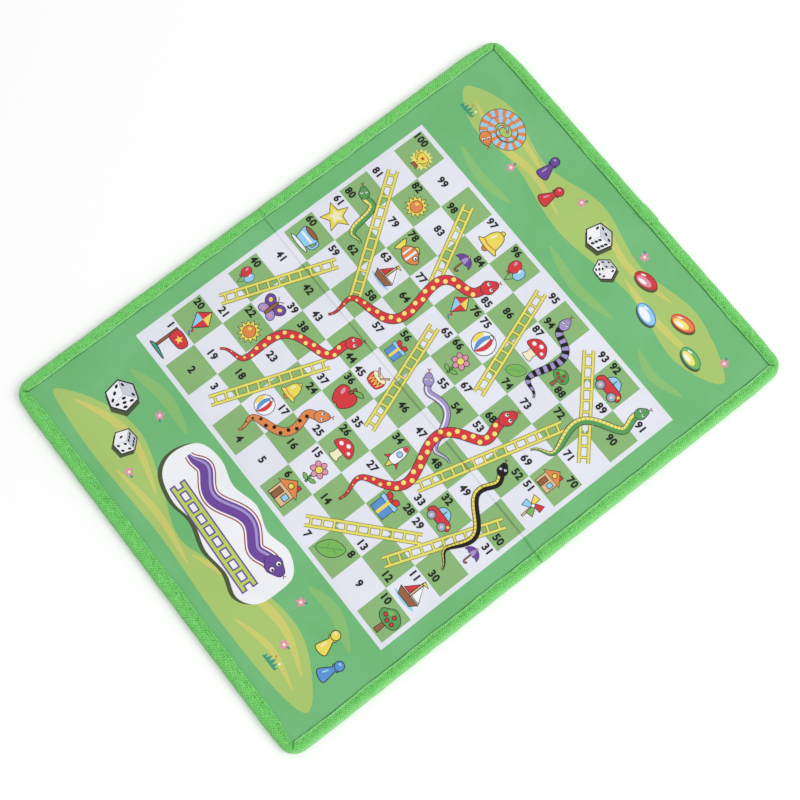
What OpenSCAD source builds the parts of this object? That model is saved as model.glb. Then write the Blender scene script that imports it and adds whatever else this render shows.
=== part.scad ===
// Folding snakes and ladders board, lying open and flat with its printed face up.
// Two stiffeners are sandwiched between one printed face sheet and one backing cloth.
// A binding tape wraps the rim of the sandwich and one row of lock stitches holds it.
// The sheets and the tape bend along the fold, so each is modelled as a left and a right half.
// Origin: middle of the underside. X runs along the long edges, Y across them, Z up.
// Near and far are the long edges at low and high Y. The ends are the short edges.

/* [Board] */
// Length of the open board over the binding
board_len = 250; // [200:1:340]
// Width of the board over the binding
board_wid = 186; // [140:1:260]
// Plan radius of the four bound corners
corner_r = 7.5; // [7.5:0.5:20]

/* [Layers] */
// Thickness of the backing cloth
back_t = 0.5; // [0.3:0.05:1]
// Thickness of the stiffener sheet
stiffener_t = 2; // [1.2:0.1:3]
// Thickness of the printed face sheet
face_t = 0.4; // [0.2:0.05:0.8]

/* [Fold] */
// Space between the two halves at the fold
fold_gap = 0.3; // [0.2:0.05:0.45]
// Space between the two stiffeners at the fold
stiffener_gap = 4.6; // [1:0.1:6]

/* [Binding tape] */
// Thickness of the tape
tape_t = 0.6; // [0.55:0.05:0.9]
// Width of the tape that lies on each face, from the rim
tape_w = 5.3; // [4.8:0.1:7]
// Stitches covered by the lap where the two ends of the tape meet
lap_stitches = 2; // [1:1:4]
// Stitches between the near corner and the lap
lap_start = 15; // [4:1:24]

/* [Stitching] */
// Length of one stitch, fitted to a whole number along each run
stitch_pitch = 5.1; // [3:0.1:8]
// Distance of the stitch row from the rim
stitch_inset = 4; // [3.4:0.1:4.4]
// Diameter of the thread
thread_d = 0.4; // [0.2:0.05:0.45]
// Space between the ends of neighbouring stitches, where the needle went through
needle_gap = 0.5; // [0.4:0.1:1]

/* [Hidden] */
$fn = 48;
// How far a cut runs past the solid that it cuts
overrun = 1;
// Clearance between pieces that lie against each other on a curve
seat = 0.03;
// Clearance round the thread in its groove
thread_clear = 0.05;
// Length of the bevel at each end of a stitch
stitch_bevel = 0.12;
// Part of the tape's thickness that is left where it bends round the edges of the layers
bend_share = 0.8;
// Part of the thread's radius that is left at the tip of a stitch
tip_share = 0.5;

core_t = back_t + stiffener_t + face_t;
total_t = core_t + 2 * tape_t;
rim_r = total_t / 2;
rim_inset = rim_r - sqrt(pow(rim_r - bend_share * tape_t, 2) - pow(rim_r - tape_t, 2));
half_len = board_len / 2;
half_wid = board_wid / 2;
half_fold = fold_gap / 2;
corner_x = half_len - corner_r;
corner_y = half_wid - corner_r;
layer_inset = rim_inset + seat;

groove_w = thread_d + 2 * thread_clear;
groove_depth = thread_d + 2 * thread_clear;
thread_z = total_t - thread_clear - thread_d / 2;
side_run = half_len - stitch_inset;
end_run = board_wid - 2 * stitch_inset;
side_count = round(side_run / stitch_pitch);
end_count = round(end_run / stitch_pitch);
side_pitch = side_run / side_count;
end_pitch = end_run / end_count;
lap_y = lap_start * end_pitch - end_run / 2;
lap_len = lap_stitches * end_pitch;

tape_green = [0.46, 0.80, 0.43];
thread_green = [0.56, 0.86, 0.52];
print_green = [0.45, 0.73, 0.49];
cloth_green = [0.40, 0.70, 0.38];
board_grey = [0.66, 0.62, 0.55];

// One half of a layer, from the fold out to the bend of the tape, with two round corners
module layer(from_x, thickness) {
    layer_r = corner_r - layer_inset;
    linear_extrude(thickness) {
        translate([from_x, layer_inset - half_wid])
            square([corner_x - from_x, board_wid - 2 * layer_inset]);
        translate([from_x, -corner_y])
            square([half_len - layer_inset - from_x, 2 * corner_y]);
        for (side = [-1, 1])
            translate([corner_x, side * corner_y]) circle(layer_r);
    }
}

// Cross-section of the folded tape: the rim is at x = 0 and the board lies towards +x
module tape_section(groove) {
    difference() {
        union() {
            translate([rim_r, rim_r]) circle(rim_r);
            translate([rim_r, 0]) square([tape_w - rim_r, total_t]);
        }
        translate([rim_inset, tape_t]) square([tape_w, core_t]);
        if (groove) {
            translate([stitch_inset - groove_w / 2, total_t - groove_depth])
                square([groove_w, groove_depth + overrun]);
            translate([stitch_inset - groove_w / 2, -overrun])
                square([groove_w, groove_depth + overrun]);
        }
    }
}

// Half of the near right corner, from the straight run to the mitre, about the corner's centre
module tape_corner() {
    inner = corner_r - tape_w;
    row = corner_r - stitch_inset;
    difference() {
        rotate([0, 0, -90])
            rotate_extrude(angle = 45)
                translate([corner_r, 0]) mirror([1, 0]) tape_section(false);
        translate([-overrun, -inner, -overrun])
            cube([inner + 2 * overrun, inner + overrun, total_t + 2 * overrun]);
        for (z = [-overrun, total_t - groove_depth])
            translate([-overrun, -row - groove_w / 2, z])
                cube([row + 2 * overrun, groove_w, groove_depth + overrun]);
    }
}

// Run of tape along the near edge of the right half, from the fold to the mitre
module side_tape() {
    union() {
        translate([half_fold, -half_wid, 0])
            rotate([90, 0, 90]) linear_extrude(corner_x - half_fold) tape_section(true);
        translate([corner_x, -corner_y, 0]) tape_corner();
    }
}

// Run of tape along the right end, from mitre to mitre
module end_tape() {
    union() {
        translate([half_len, -corner_y, 0])
            rotate([90, 0, 180]) linear_extrude(2 * corner_y) tape_section(true);
        for (side = [0, 1])
            mirror([0, side, 0])
                translate([corner_x, -corner_y, 0]) mirror([1, 1, 0]) tape_corner();
    }
}

// One stitch along +X, centred on its middle
module stitch(pitch) {
    thread_r = thread_d / 2;
    half = (pitch - needle_gap) / 2;
    rotate([0, 90, 0])
        rotate_extrude()
            polygon([
                [0, -half],
                [thread_r * tip_share, -half],
                [thread_r, stitch_bevel - half],
                [thread_r, half - stitch_bevel],
                [thread_r * tip_share, half],
                [0, half]
            ]);
}

// Stitches along the near edge of the right half, from the fold to the corner
module side_stitches(z) {
    for (i = [0 : side_count - 1])
        translate([i * side_pitch + side_pitch / 2, stitch_inset - half_wid, z]) stitch(side_pitch);
}

// Stitches along the right end, with those on the lap raised by the given height
module end_stitches(z, lap_rise) {
    for (i = [0 : end_count - 1]) {
        on_lap = i >= lap_start && i < lap_start + lap_stitches;
        y = i * end_pitch + (end_pitch - end_run) / 2;
        translate([half_len - stitch_inset, y, z + (on_lap ? lap_rise : 0)])
            rotate([0, 0, 90]) stitch(end_pitch);
    }
}

// Cross-section of the tape's second end where it laps over the first, round the rim and along the top
module lap_section() {
    difference() {
        union() {
            translate([rim_r, rim_r]) circle(rim_r + tape_t);
            translate([rim_r, total_t]) square([tape_w - rim_r, tape_t]);
        }
        translate([rim_r, rim_r]) circle(rim_r + seat);
        translate([rim_r, -overrun - tape_t]) square([tape_w, total_t + overrun + tape_t + seat]);
        translate([-overrun - tape_t, -overrun - tape_t])
            square([tape_w + 2 * overrun, overrun + 2 * tape_t]);
        translate([stitch_inset - groove_w / 2, total_t + tape_t - groove_depth])
            square([groove_w, groove_depth + overrun]);
    }
}

module right_stiffener() {
    color(board_grey) translate([0, 0, tape_t + back_t]) layer(stiffener_gap / 2, stiffener_t);
}

module right_face_sheet() {
    color(print_green) translate([0, 0, tape_t + back_t + stiffener_t]) layer(half_fold, face_t);
}

module right_back_cloth() {
    color(cloth_green) translate([0, 0, tape_t]) layer(half_fold, back_t);
}

module right_end_tape() {
    color(tape_green) end_tape();
}

module right_near_tape() {
    color(tape_green) side_tape();
}

module right_far_tape() {
    color(tape_green) mirror([0, 1, 0]) side_tape();
}

module right_end_top_thread() {
    color(thread_green) end_stitches(thread_z, tape_t);
}

module right_near_top_thread() {
    color(thread_green) side_stitches(thread_z);
}

module right_far_top_thread() {
    color(thread_green) mirror([0, 1, 0]) side_stitches(thread_z);
}

module right_end_bobbin_thread() {
    color(thread_green) end_stitches(total_t - thread_z, 0);
}

module right_near_bobbin_thread() {
    color(thread_green) side_stitches(total_t - thread_z);
}

module right_far_bobbin_thread() {
    color(thread_green) mirror([0, 1, 0]) side_stitches(total_t - thread_z);
}

module right_tape_lap() {
    color(tape_green)
        translate([half_len, lap_y, 0]) rotate([90, 0, 180]) linear_extrude(lap_len) lap_section();
}

module left_stiffener() {
    mirror([1, 0, 0]) right_stiffener();
}

module left_face_sheet() {
    mirror([1, 0, 0]) right_face_sheet();
}

module left_back_cloth() {
    mirror([1, 0, 0]) right_back_cloth();
}

module left_end_tape() {
    mirror([1, 0, 0]) right_end_tape();
}

module left_near_tape() {
    mirror([1, 0, 0]) right_near_tape();
}

module left_far_tape() {
    mirror([1, 0, 0]) right_far_tape();
}

module left_end_top_thread() {
    color(thread_green) mirror([1, 0, 0]) end_stitches(thread_z, 0);
}

module left_near_top_thread() {
    mirror([1, 0, 0]) right_near_top_thread();
}

module left_far_top_thread() {
    mirror([1, 0, 0]) right_far_top_thread();
}

module left_end_bobbin_thread() {
    mirror([1, 0, 0]) right_end_bobbin_thread();
}

module left_near_bobbin_thread() {
    mirror([1, 0, 0]) right_near_bobbin_thread();
}

module left_far_bobbin_thread() {
    mirror([1, 0, 0]) right_far_bobbin_thread();
}

left_stiffener();
left_face_sheet();
left_back_cloth();
left_end_tape();
left_far_tape();
left_near_tape();
left_end_top_thread();
left_far_top_thread();
left_near_top_thread();
left_end_bobbin_thread();
left_far_bobbin_thread();
left_near_bobbin_thread();
right_stiffener();
right_face_sheet();
right_back_cloth();
right_end_tape();
right_far_tape();
right_near_tape();
right_end_top_thread();
right_far_top_thread();
right_near_top_thread();
right_end_bobbin_thread();
right_far_bobbin_thread();
right_near_bobbin_thread();
right_tape_lap();
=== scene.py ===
import bpy
import math
from mathutils import Matrix, Vector


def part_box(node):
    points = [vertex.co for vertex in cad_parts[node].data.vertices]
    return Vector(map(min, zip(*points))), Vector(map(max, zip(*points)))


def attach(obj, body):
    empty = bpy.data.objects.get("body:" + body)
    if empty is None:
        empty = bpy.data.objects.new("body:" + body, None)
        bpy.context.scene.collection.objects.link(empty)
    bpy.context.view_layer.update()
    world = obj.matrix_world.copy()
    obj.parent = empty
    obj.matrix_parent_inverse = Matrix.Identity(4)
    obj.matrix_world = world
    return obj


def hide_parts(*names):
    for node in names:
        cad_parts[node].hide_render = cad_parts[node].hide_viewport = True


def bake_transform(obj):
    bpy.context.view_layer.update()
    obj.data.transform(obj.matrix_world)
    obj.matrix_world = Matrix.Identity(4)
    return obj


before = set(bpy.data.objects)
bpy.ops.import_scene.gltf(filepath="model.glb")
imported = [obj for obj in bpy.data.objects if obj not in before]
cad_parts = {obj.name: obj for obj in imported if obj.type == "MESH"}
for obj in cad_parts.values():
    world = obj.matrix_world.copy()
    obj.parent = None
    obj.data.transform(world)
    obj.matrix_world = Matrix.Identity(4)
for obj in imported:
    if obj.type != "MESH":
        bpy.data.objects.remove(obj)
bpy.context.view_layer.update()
print("frame loaded,", len(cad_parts), "nodes")

mm = 0.001
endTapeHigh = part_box("right_end_tape")[1] / mm
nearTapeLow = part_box("right_near_tape")[0] / mm
faceLow, faceHigh = [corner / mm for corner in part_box("right_face_sheet")]
backLow, backHigh = [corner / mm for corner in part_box("right_back_cloth")]

# the open board, in mm, from the frame
board = {
    "halfLen": endTapeHigh.x,
    "halfWid": -nearTapeLow.y,
    "thick": endTapeHigh.z,
    "faceTop": faceHigh.z,
    "faceUnder": faceLow.z,
    "backTop": backHigh.z,
    "backUnder": backLow.z,
    "bend": 2.0,  # half the width of the stretch that bends at the fold
}


# helpers for objects

def clearSelection():
    bpy.ops.object.select_all(action="DESELECT")


def only(*objs):  # selects these and nothing else
    clearSelection()
    for obj in objs:
        obj.select_set(True)
    bpy.context.view_layer.objects.active = objs[0]


def named(name):  # the object that an operator has just added
    obj = bpy.context.object
    obj.name = name
    obj.data.name = name
    return obj


def joined(name, parts):
    only(*parts)
    if len(parts) > 1:
        bpy.ops.object.join()
    return named(name)


def inEditMode(obj, work):  # runs work with the whole mesh selected
    only(obj)
    bpy.ops.object.mode_set(mode="EDIT")
    bpy.ops.mesh.select_all(action="SELECT")
    work()
    bpy.ops.object.mode_set(mode="OBJECT")


def gridSheet(name, columns, rows):  # a flat grid with its lines at these places, in mm
    clearSelection()
    bpy.ops.mesh.primitive_grid_add(x_subdivisions=len(columns) - 1, y_subdivisions=len(rows) - 1, size=1)
    obj = named(name)
    for i, vert in enumerate(obj.data.vertices):
        vert.co = Vector((columns[i % len(columns)], rows[i // len(columns)], 0)) * mm
    return obj


def setUv(obj, uvOf):  # uvOf gives each vertex's place on the material, in mm
    layer = obj.data.uv_layers.get("UVMap") or obj.data.uv_layers.new(name="UVMap")
    for loop in obj.data.loops:
        layer.data[loop.index].uv = uvOf(loop.vertex_index)


def flatUv(obj):
    verts = obj.data.vertices
    setUv(obj, lambda i: (verts[i].co.x / mm, verts[i].co.y / mm))


def solidify(obj, thickness):  # the wall grows inwards, away from the normals
    only(obj)
    wall = obj.modifiers.new("wall", "SOLIDIFY")
    wall.thickness = thickness * mm
    wall.offset = -1
    bpy.ops.object.modifier_apply(modifier=wall.name)


def smoothed(obj, angle):
    only(obj)
    bpy.ops.object.shade_smooth_by_angle(angle=math.radians(angle))


def dressed(obj, material):
    obj.data.materials.clear()
    obj.data.materials.append(material)
    return obj


def acrossFold(obj):  # bakes its place into its mesh, and leaves it on neither half
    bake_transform(obj)


def mound(x, width):
    return math.exp(-(x / width) ** 2)


def between(x, low, high):  # 0 below low, 1 above high, smooth in between
    t = min(1, max(0, (x - low) / (high - low)))
    return t * t * (3 - 2 * t)


def leftOf(tangent):  # a quarter turn to the left
    return Vector((-tangent.y, tangent.x))


def srgb(red, green, blue):
    def linear(c):
        c = c / 255
        return c / 12.92 if c <= 0.04045 else ((c + 0.055) / 1.055) ** 2.4
    return (linear(red), linear(green), linear(blue), 1)


# helpers for shader nodes

def addNode(tree, kind, **settings):
    node = tree.nodes.new("ShaderNode" + kind)
    for key, value in settings.items():
        setattr(node, key, value)
    return node


def feed(tree, socket, value):  # value is another socket, or a constant
    if isinstance(value, bpy.types.NodeSocket):
        tree.links.new(value, socket)
    else:
        socket.default_value = value


def fill(tree, node, values):  # values by the names of the node's inputs
    for name, value in values.items():
        feed(tree, node.inputs[name], value)


def mathOf(tree, operation, a, b=0.0):
    node = addNode(tree, "Math", operation=operation)
    feed(tree, node.inputs[0], a)
    feed(tree, node.inputs[1], b)
    return node.outputs[0]


def weighted(tree, first, *others):  # the sum of values, each with its share
    total = mathOf(tree, "MULTIPLY", *first)
    for other in others:
        total = mathOf(tree, "ADD", total, mathOf(tree, "MULTIPLY", *other))
    return total


def highest(tree, first, *others):
    for other in others:
        first = mathOf(tree, "MAXIMUM", first, other)
    return first


def ramp(tree, value, fromLow, fromHigh, toLow=0.0, toHigh=1.0):
    node = addNode(tree, "MapRange", interpolation_type="SMOOTHSTEP")
    for socket, number in zip(list(node.inputs)[:5], (value, fromLow, fromHigh, toLow, toHigh)):
        feed(tree, socket, number)
    return node.outputs[0]


def noise(tree, vector, scale, detail, distortion):
    node = addNode(tree, "TexNoise", noise_dimensions="2D")
    fill(tree, node, {"Vector": vector, "Scale": scale, "Detail": detail, "Distortion": distortion})
    return node.outputs[0]


def tint(tree, factor, dark, light):
    node = addNode(tree, "Mix", data_type="RGBA")
    feed(tree, node.inputs["Factor"], factor)
    feed(tree, node.inputs[6], dark)
    feed(tree, node.inputs[7], light)
    return node.outputs[2]


def uvPlace(tree):
    return addNode(tree, "UVMap", uv_map="UVMap").outputs["UV"]


def attribute(tree, name, output="Fac"):
    return addNode(tree, "Attribute", attribute_name=name).outputs[output]


def newGroup(name, inputs, outputs):
    group = bpy.data.node_groups.new(name, "ShaderNodeTree")
    for label, kind in inputs.items():
        group.interface.new_socket(name=label, in_out="INPUT", socket_type="NodeSocket" + kind)
    for label in outputs:
        group.interface.new_socket(name=label, in_out="OUTPUT", socket_type="NodeSocketFloat")
    return group, group.nodes.new("NodeGroupInput"), group.nodes.new("NodeGroupOutput")


def newMaterial(name):
    material = bpy.data.materials.new(name)
    material.use_nodes = True
    tree = material.node_tree
    return material, tree, tree.nodes["Principled BSDF"]


def placed(tree, group, values):
    node = addNode(tree, "Group")
    node.node_tree = group
    fill(tree, node, values)
    return node


def bumped(tree, shader, height, distance):
    node = addNode(tree, "Bump")
    fill(tree, node, {"Strength": 1.0, "Distance": distance * mm, "Height": height})
    feed(tree, shader.inputs["Normal"], node.outputs["Normal"])


# bonded fibre cloth: pressed dots in staggered rows, loose fibres and thin patches
# a noise has its scale per mm, detail and distortion, and a mask the values where it starts and ends
clothStyle = {
    "turn": 45,
    "scatter": 0.3,
    "dots": (0.16, 0.44),
    "fibreNoise": (2.2, 4.0, 1.6),
    "fibres": (0.34, 0.66),
    "patchNoise": (0.4, 3.0, 0.6),
    "patches": (0.3, 0.7),
    "speckNoise": (1.9, 3.0, 0.8),
    "specks": (0.54, 0.66),
    "toneShares": (0.42, 0.44, 0.14),
    "heightShares": (0.5, 0.5),
    "speckShade": 0.6,
    "emboss": 0.09,
}


def makeBondedCloth():
    outputs = ["Tone", "Height", "Specks"]
    group, into, out = newGroup("bondedCloth", {"Vector": "Vector", "Pitch": "Float"}, outputs)
    where = into.outputs["Vector"]
    turn = addNode(group, "Mapping")
    turn.inputs["Rotation"].default_value[2] = math.radians(clothStyle["turn"])
    feed(group, turn.inputs["Vector"], where)
    dots = addNode(group, "TexVoronoi", voronoi_dimensions="2D")
    fill(group, dots, {
        "Vector": turn.outputs["Vector"],
        "Scale": mathOf(group, "DIVIDE", 1.0, into.outputs["Pitch"]),
        "Randomness": clothStyle["scatter"],
    })
    proud = ramp(group, dots.outputs["Distance"], *clothStyle["dots"])
    fibres = ramp(group, noise(group, where, *clothStyle["fibreNoise"]), *clothStyle["fibres"])
    patches = ramp(group, noise(group, where, *clothStyle["patchNoise"]), *clothStyle["patches"])
    specks = ramp(group, noise(group, where, *clothStyle["speckNoise"]), *clothStyle["specks"])
    fill(group, out, {
        "Tone": weighted(group, *zip((proud, fibres, patches), clothStyle["toneShares"])),
        "Height": weighted(group, *zip((proud, fibres), clothStyle["heightShares"])),
        "Specks": specks,
    })
    return group


# laminated print: a clear film with faint ripples, fine pits and soft rubbed patches
filmStyle = {
    "cloudNoise": (0.035, 3.0, 0.4),
    "speckNoise": (2.6, 3.0, 0.0),
    "rubNoise": (0.16, 4.0, 1.2),
    "toneShares": (0.7, 0.3),
    "tone": (0.3, 0.7),
    "rough": (0.3, 0.75, 0.3, 0.46),
    "heightShares": (0.8, 0.2),
    "ripple": 0.03,
    "margin": [(110, 185, 117), (120, 191, 129)],
    "shadedMargin": (50, 124, 60),
    "inkShade": (0.0, 0.8, -0.18, -0.8),
    "inkTone": (0, 1, 0.97, 1.02),
    # painted shade in the crease and along the tape's inner edges, from place to place in mm and from value
    # to value
    "wander": (-88, -79, 1.8, 1.2),  # the crease strays by the near edge
    "crease": (0.12, 0.62, 0.44, 0.0),
    # painted shadow of the tape's lip on the film, by the near and far edges and the right end; none at the
    # left end
    "nearTape": (-87.8, -87.4, 0.75, 0.0),
    "farTape": (87.1, 87.45, 0.0, 0.6),
    "endTape": (119.4, 119.75, 0.0, 0.75),
}


def makeLaminate():
    group, into, out = newGroup("laminate", {"Vector": "Vector"}, ["Tone", "Rough", "Height", "PaintedShade"])
    where = into.outputs["Vector"]
    place = addNode(group, "SeparateXYZ")
    feed(group, place.inputs[0], where)
    x, y = place.outputs["X"], place.outputs["Y"]
    fromCrease = mathOf(group, "ABSOLUTE", mathOf(group, "ADD", x, ramp(group, y, *filmStyle["wander"])))
    cloud = noise(group, where, *filmStyle["cloudNoise"])
    speckle = noise(group, where, *filmStyle["speckNoise"])
    wearAndHighlight = noise(group, where, *filmStyle["rubNoise"])
    tone = weighted(group, *zip((cloud, speckle), filmStyle["toneShares"]))
    # painted shade: a dark line along the crease, and painted shadow along the tape's inner edges
    shaded = [
        ramp(group, fromCrease, *filmStyle["crease"]),
        ramp(group, y, *filmStyle["nearTape"]),
        ramp(group, y, *filmStyle["farTape"]),
        ramp(group, x, *filmStyle["endTape"]),
    ]
    fill(group, out, {
        "Tone": ramp(group, tone, *filmStyle["tone"]),
        "Rough": ramp(group, wearAndHighlight, *filmStyle["rough"]),
        "Height": weighted(group, *zip((wearAndHighlight, speckle), filmStyle["heightShares"])),
        "PaintedShade": highest(group, *shaded),
    })
    return group


bondedCloth = makeBondedCloth()
laminate = makeLaminate()


# the hole colour is painted shade, and the pale colour is painted highlight
def makeTapeCloth(name, dark, light, highlight, hole, pitch):
    material, tree, shader = newMaterial(name)
    cloth = placed(tree, bondedCloth, {"Vector": uvPlace(tree), "Pitch": pitch})
    colour = tint(tree, cloth.outputs["Tone"], srgb(*dark), srgb(*light))
    # painted highlight: the lip and rim of some runs turn pale
    colour = tint(tree, attribute(tree, "wearAndHighlight"), colour, srgb(*highlight))
    # painted shade: dark specks along the row of stitches, and the shade of holes, mitre, corner pit and
    # crease, turn the cloth towards the hole colour
    specks = mathOf(tree, "MULTIPLY", cloth.outputs["Specks"], attribute(tree, "sewn"))
    specks = mathOf(tree, "MULTIPLY", specks, clothStyle["speckShade"])
    shade = highest(tree, attribute(tree, "pinchShade"), specks)
    fill(tree, shader, {
        "Base Color": tint(tree, shade, colour, srgb(*hole)),
        "Roughness": 0.75,
        "Specular IOR Level": 0.25,
        "Sheen Weight": 0.4,
        "Sheen Roughness": 0.5,
    })
    bumped(tree, shader, cloth.outputs["Height"], clothStyle["emboss"])
    return material


threadStyle = {"lay": 2.4, "uneven": 0.6, "strands": (0.1, 0.9), "twist": 0.05}


def makeThread(name, dark, light):
    material, tree, shader = newMaterial(name)
    lay = addNode(tree, "TexWave", wave_type="BANDS", bands_direction="DIAGONAL")
    place = uvPlace(tree)
    fill(tree, lay, {"Vector": place, "Scale": threadStyle["lay"], "Distortion": threadStyle["uneven"]})
    strands = ramp(tree, lay.outputs["Fac"], *threadStyle["strands"])
    colour = tint(tree, strands, srgb(*dark), srgb(*light))
    fill(tree, shader, {"Base Color": colour, "Roughness": 0.5, "Sheen Weight": 0.25})
    bumped(tree, shader, strands, threadStyle["twist"])
    return material


def makePrint(name, colourOf):  # colourOf gives the colour under the film
    material, tree, shader = newMaterial(name)
    film = placed(tree, laminate, {"Vector": uvPlace(tree)})
    colour = colourOf(tree, film)
    fill(tree, shader, {"Base Color": colour, "Roughness": film.outputs["Rough"], "Specular IOR Level": 0.2})
    bumped(tree, shader, film.outputs["Height"], filmStyle["ripple"])
    return material


def marginColour(tree, film):
    dark, light = filmStyle["margin"]
    colour = tint(tree, film.outputs["Tone"], srgb(*dark), srgb(*light))
    # the margin's green turns to painted shade in the crease and by the tape edges
    return tint(tree, film.outputs["PaintedShade"], colour, srgb(*filmStyle["shadedMargin"]))


def inkColour(tree, film):  # strong colours darken more than pale ones where painted shade falls on the film, in the crease and by the tape edges
    printed = attribute(tree, "inkColour", "Color")
    parts = addNode(tree, "SeparateColor", mode="HSV")
    feed(tree, parts.inputs["Color"], printed)
    saturation = parts.outputs["Green"]
    # painted shade: the ink darkens in the crease and by the tape edges
    darkening = mathOf(tree, "MULTIPLY", ramp(tree, saturation, *filmStyle["inkShade"]), film.outputs["PaintedShade"])
    value = mathOf(tree, "ADD", darkening, ramp(tree, film.outputs["Tone"], *filmStyle["inkTone"]))
    shaded = addNode(tree, "HueSaturation")
    fill(tree, shaded, {"Color": printed, "Value": value})
    return shaded.outputs["Color"]


greyStyle = {"dark": (150, 143, 130), "light": (186, 178, 163), "flakes": 900, "detail": 5,
             "pulp": (0.3, 0.7), "emboss": 0.05}


def makeGreyboard():
    material, tree, shader = newMaterial("greyboard")
    flakes = addNode(tree, "TexNoise")
    place = addNode(tree, "TexCoord").outputs["Object"]
    fill(tree, flakes, {"Vector": place, "Scale": greyStyle["flakes"], "Detail": greyStyle["detail"]})
    pulp = ramp(tree, flakes.outputs["Fac"], *greyStyle["pulp"])
    colour = tint(tree, pulp, srgb(*greyStyle["dark"]), srgb(*greyStyle["light"]))
    fill(tree, shader, {"Base Color": colour, "Roughness": 0.9})
    bumped(tree, shader, pulp, greyStyle["emboss"])
    return material


tapeCloth = makeTapeCloth("tapeCloth", dark=(58, 161, 58), light=(140, 238, 126), highlight=(178, 240, 176),
                          hole=(30, 108, 36), pitch=0.86)
backCloth = makeTapeCloth("backCloth", dark=(58, 138, 70), light=(104, 188, 104), highlight=(150, 210, 150),
                          hole=(30, 90, 40), pitch=1.5)
threadGreen = makeThread("threadGreen", dark=(98, 204, 86), light=(146, 238, 128))
marginPrint = makePrint("marginPrint", marginColour)
inkPrint = makePrint("inkPrint", inkColour)
greyboard = makeGreyboard()
print("materials made")


# camera, at the photograph's angle
view = {
    "lens": 76.88,
    "sensor": 36,
    "clip": 0.01,
    "from": (-100.818, -141.855, 664.185),
    "forward": (0.14077, 0.19752, -0.97014),
    "up": (0.60169, 0.76110, 0.24227),
}


def makeCamera():
    clearSelection()
    bpy.ops.object.camera_add()
    camera = named("camera")
    camera.data.lens = view["lens"]
    camera.data.sensor_width = view["sensor"]
    camera.data.clip_start = view["clip"]
    forward = Vector(view["forward"]).normalized()
    right = forward.cross(Vector(view["up"])).normalized()
    up = right.cross(forward)
    turn = Matrix((right, up, -forward)).transposed().to_4x4()
    camera.matrix_world = Matrix.Translation(Vector(view["from"]) * mm) @ turn
    bpy.context.scene.camera = camera


makeCamera()

# soft studio light and a white floor that keeps the shadow
studio = {
    "white": (1, 1, 1, 1),
    "sky": 0.64,
    "keyPower": 17,
    "keySize": 1.1,
    "keyFrom": (0.72, -1.05, 1.4),
    "floor": (0.86, 0.86, 0.86, 1),
    "floorSize": 6,
    "floorGlow": 0.2,
}


def seenBackground(tree):  # 1 for rays that show the background
    path = addNode(tree, "LightPath")
    return highest(tree, *[path.outputs["Is %s Ray" % kind] for kind in ("Camera", "Glossy", "Transmission")])


def makeSky():
    world = bpy.data.worlds.new("studio")
    bpy.context.scene.world = world
    world.use_nodes = True
    tree = world.node_tree
    tree.nodes.clear()
    lamp = addNode(tree, "Background")
    fill(tree, lamp, {"Color": studio["white"], "Strength": studio["sky"]})
    paper = addNode(tree, "Background")
    fill(tree, paper, {"Color": studio["white"]})
    mix = addNode(tree, "MixShader")
    for socket, value in zip(list(mix.inputs), (seenBackground(tree), lamp.outputs[0], paper.outputs[0])):
        feed(tree, socket, value)
    feed(tree, addNode(tree, "OutputWorld").inputs["Surface"], mix.outputs[0])


def makeKey():
    clearSelection()
    bpy.ops.object.light_add(type="AREA")
    key = named("key")
    key.data.energy = studio["keyPower"]
    key.data.size = studio["keySize"]
    key.location = studio["keyFrom"]
    key.rotation_euler = (-key.location).to_track_quat("-Z", "Y").to_euler()


def makeFloor():
    clearSelection()
    bpy.ops.mesh.primitive_plane_add(size=studio["floorSize"])
    floor = named("floor")
    material, tree, shader = newMaterial("floorPaper")
    fill(tree, shader, {
        "Base Color": studio["floor"],
        "Roughness": 0.9,
        "Specular IOR Level": 0,
        "Emission Color": studio["white"],
        "Emission Strength": mathOf(tree, "MULTIPLY", seenBackground(tree), studio["floorGlow"]),
    })
    floor.data.materials.append(material)


makeSky()
makeKey()
makeFloor()
bpy.context.scene.view_settings.view_transform = "Standard"
print("camera and light set")


# the fold: a low ridge in the film, cut on the same lines in every layer that crosses it
fold = {
    "halfLines": [0.25, 0.5, 0.75, 1.0, 1.25, 1.5, 1.8, 2.2, 3],
    "ridge": -0.75,
    "height": 0.22,
    "width": 0.5,
    "apart": 0.1,
}
foldEdge = fold["halfLines"][-1]
foldLines = [-x for x in reversed(fold["halfLines"])] + [0] + fold["halfLines"]


def creaseLift(x):
    return fold["height"] * mound(x - fold["ridge"], fold["width"]) if abs(x) < foldEdge else 0


def spaced(low, high, step):  # places from low to high, about a step apart
    count = max(1, round((high - low) / step))
    return [low + (high - low) * i / count for i in range(count + 1)]


sheets = {
    "hidden": 3.9,  # how far the tape covers the edge of each sheet
    "step": 5.0,
    "clothGroove": 0.25,
    "clothWide": 0.8,
    "smooth": 30,
}
sheetLen = board["halfLen"] - sheets["hidden"]
sheetWid = board["halfWid"] - sheets["hidden"]


def makeSheet(name, top, under, liftOf):
    ends = spaced(foldEdge, sheetLen, sheets["step"])[1:]
    columns = [-x for x in reversed(ends)] + foldLines + ends
    sheet = gridSheet(name, columns, spaced(-sheetWid, sheetWid, sheets["step"]))
    for vert in sheet.data.vertices:
        vert.co.z = top * mm
    flatUv(sheet)
    solidify(sheet, top - under)
    for vert in sheet.data.vertices:
        vert.co.z += liftOf(vert.co.x / mm) * mm
    smoothed(sheet, sheets["smooth"])
    acrossFold(sheet)
    return sheet


def clothLift(x):
    return sheets["clothGroove"] * mound(x, sheets["clothWide"])


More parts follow.
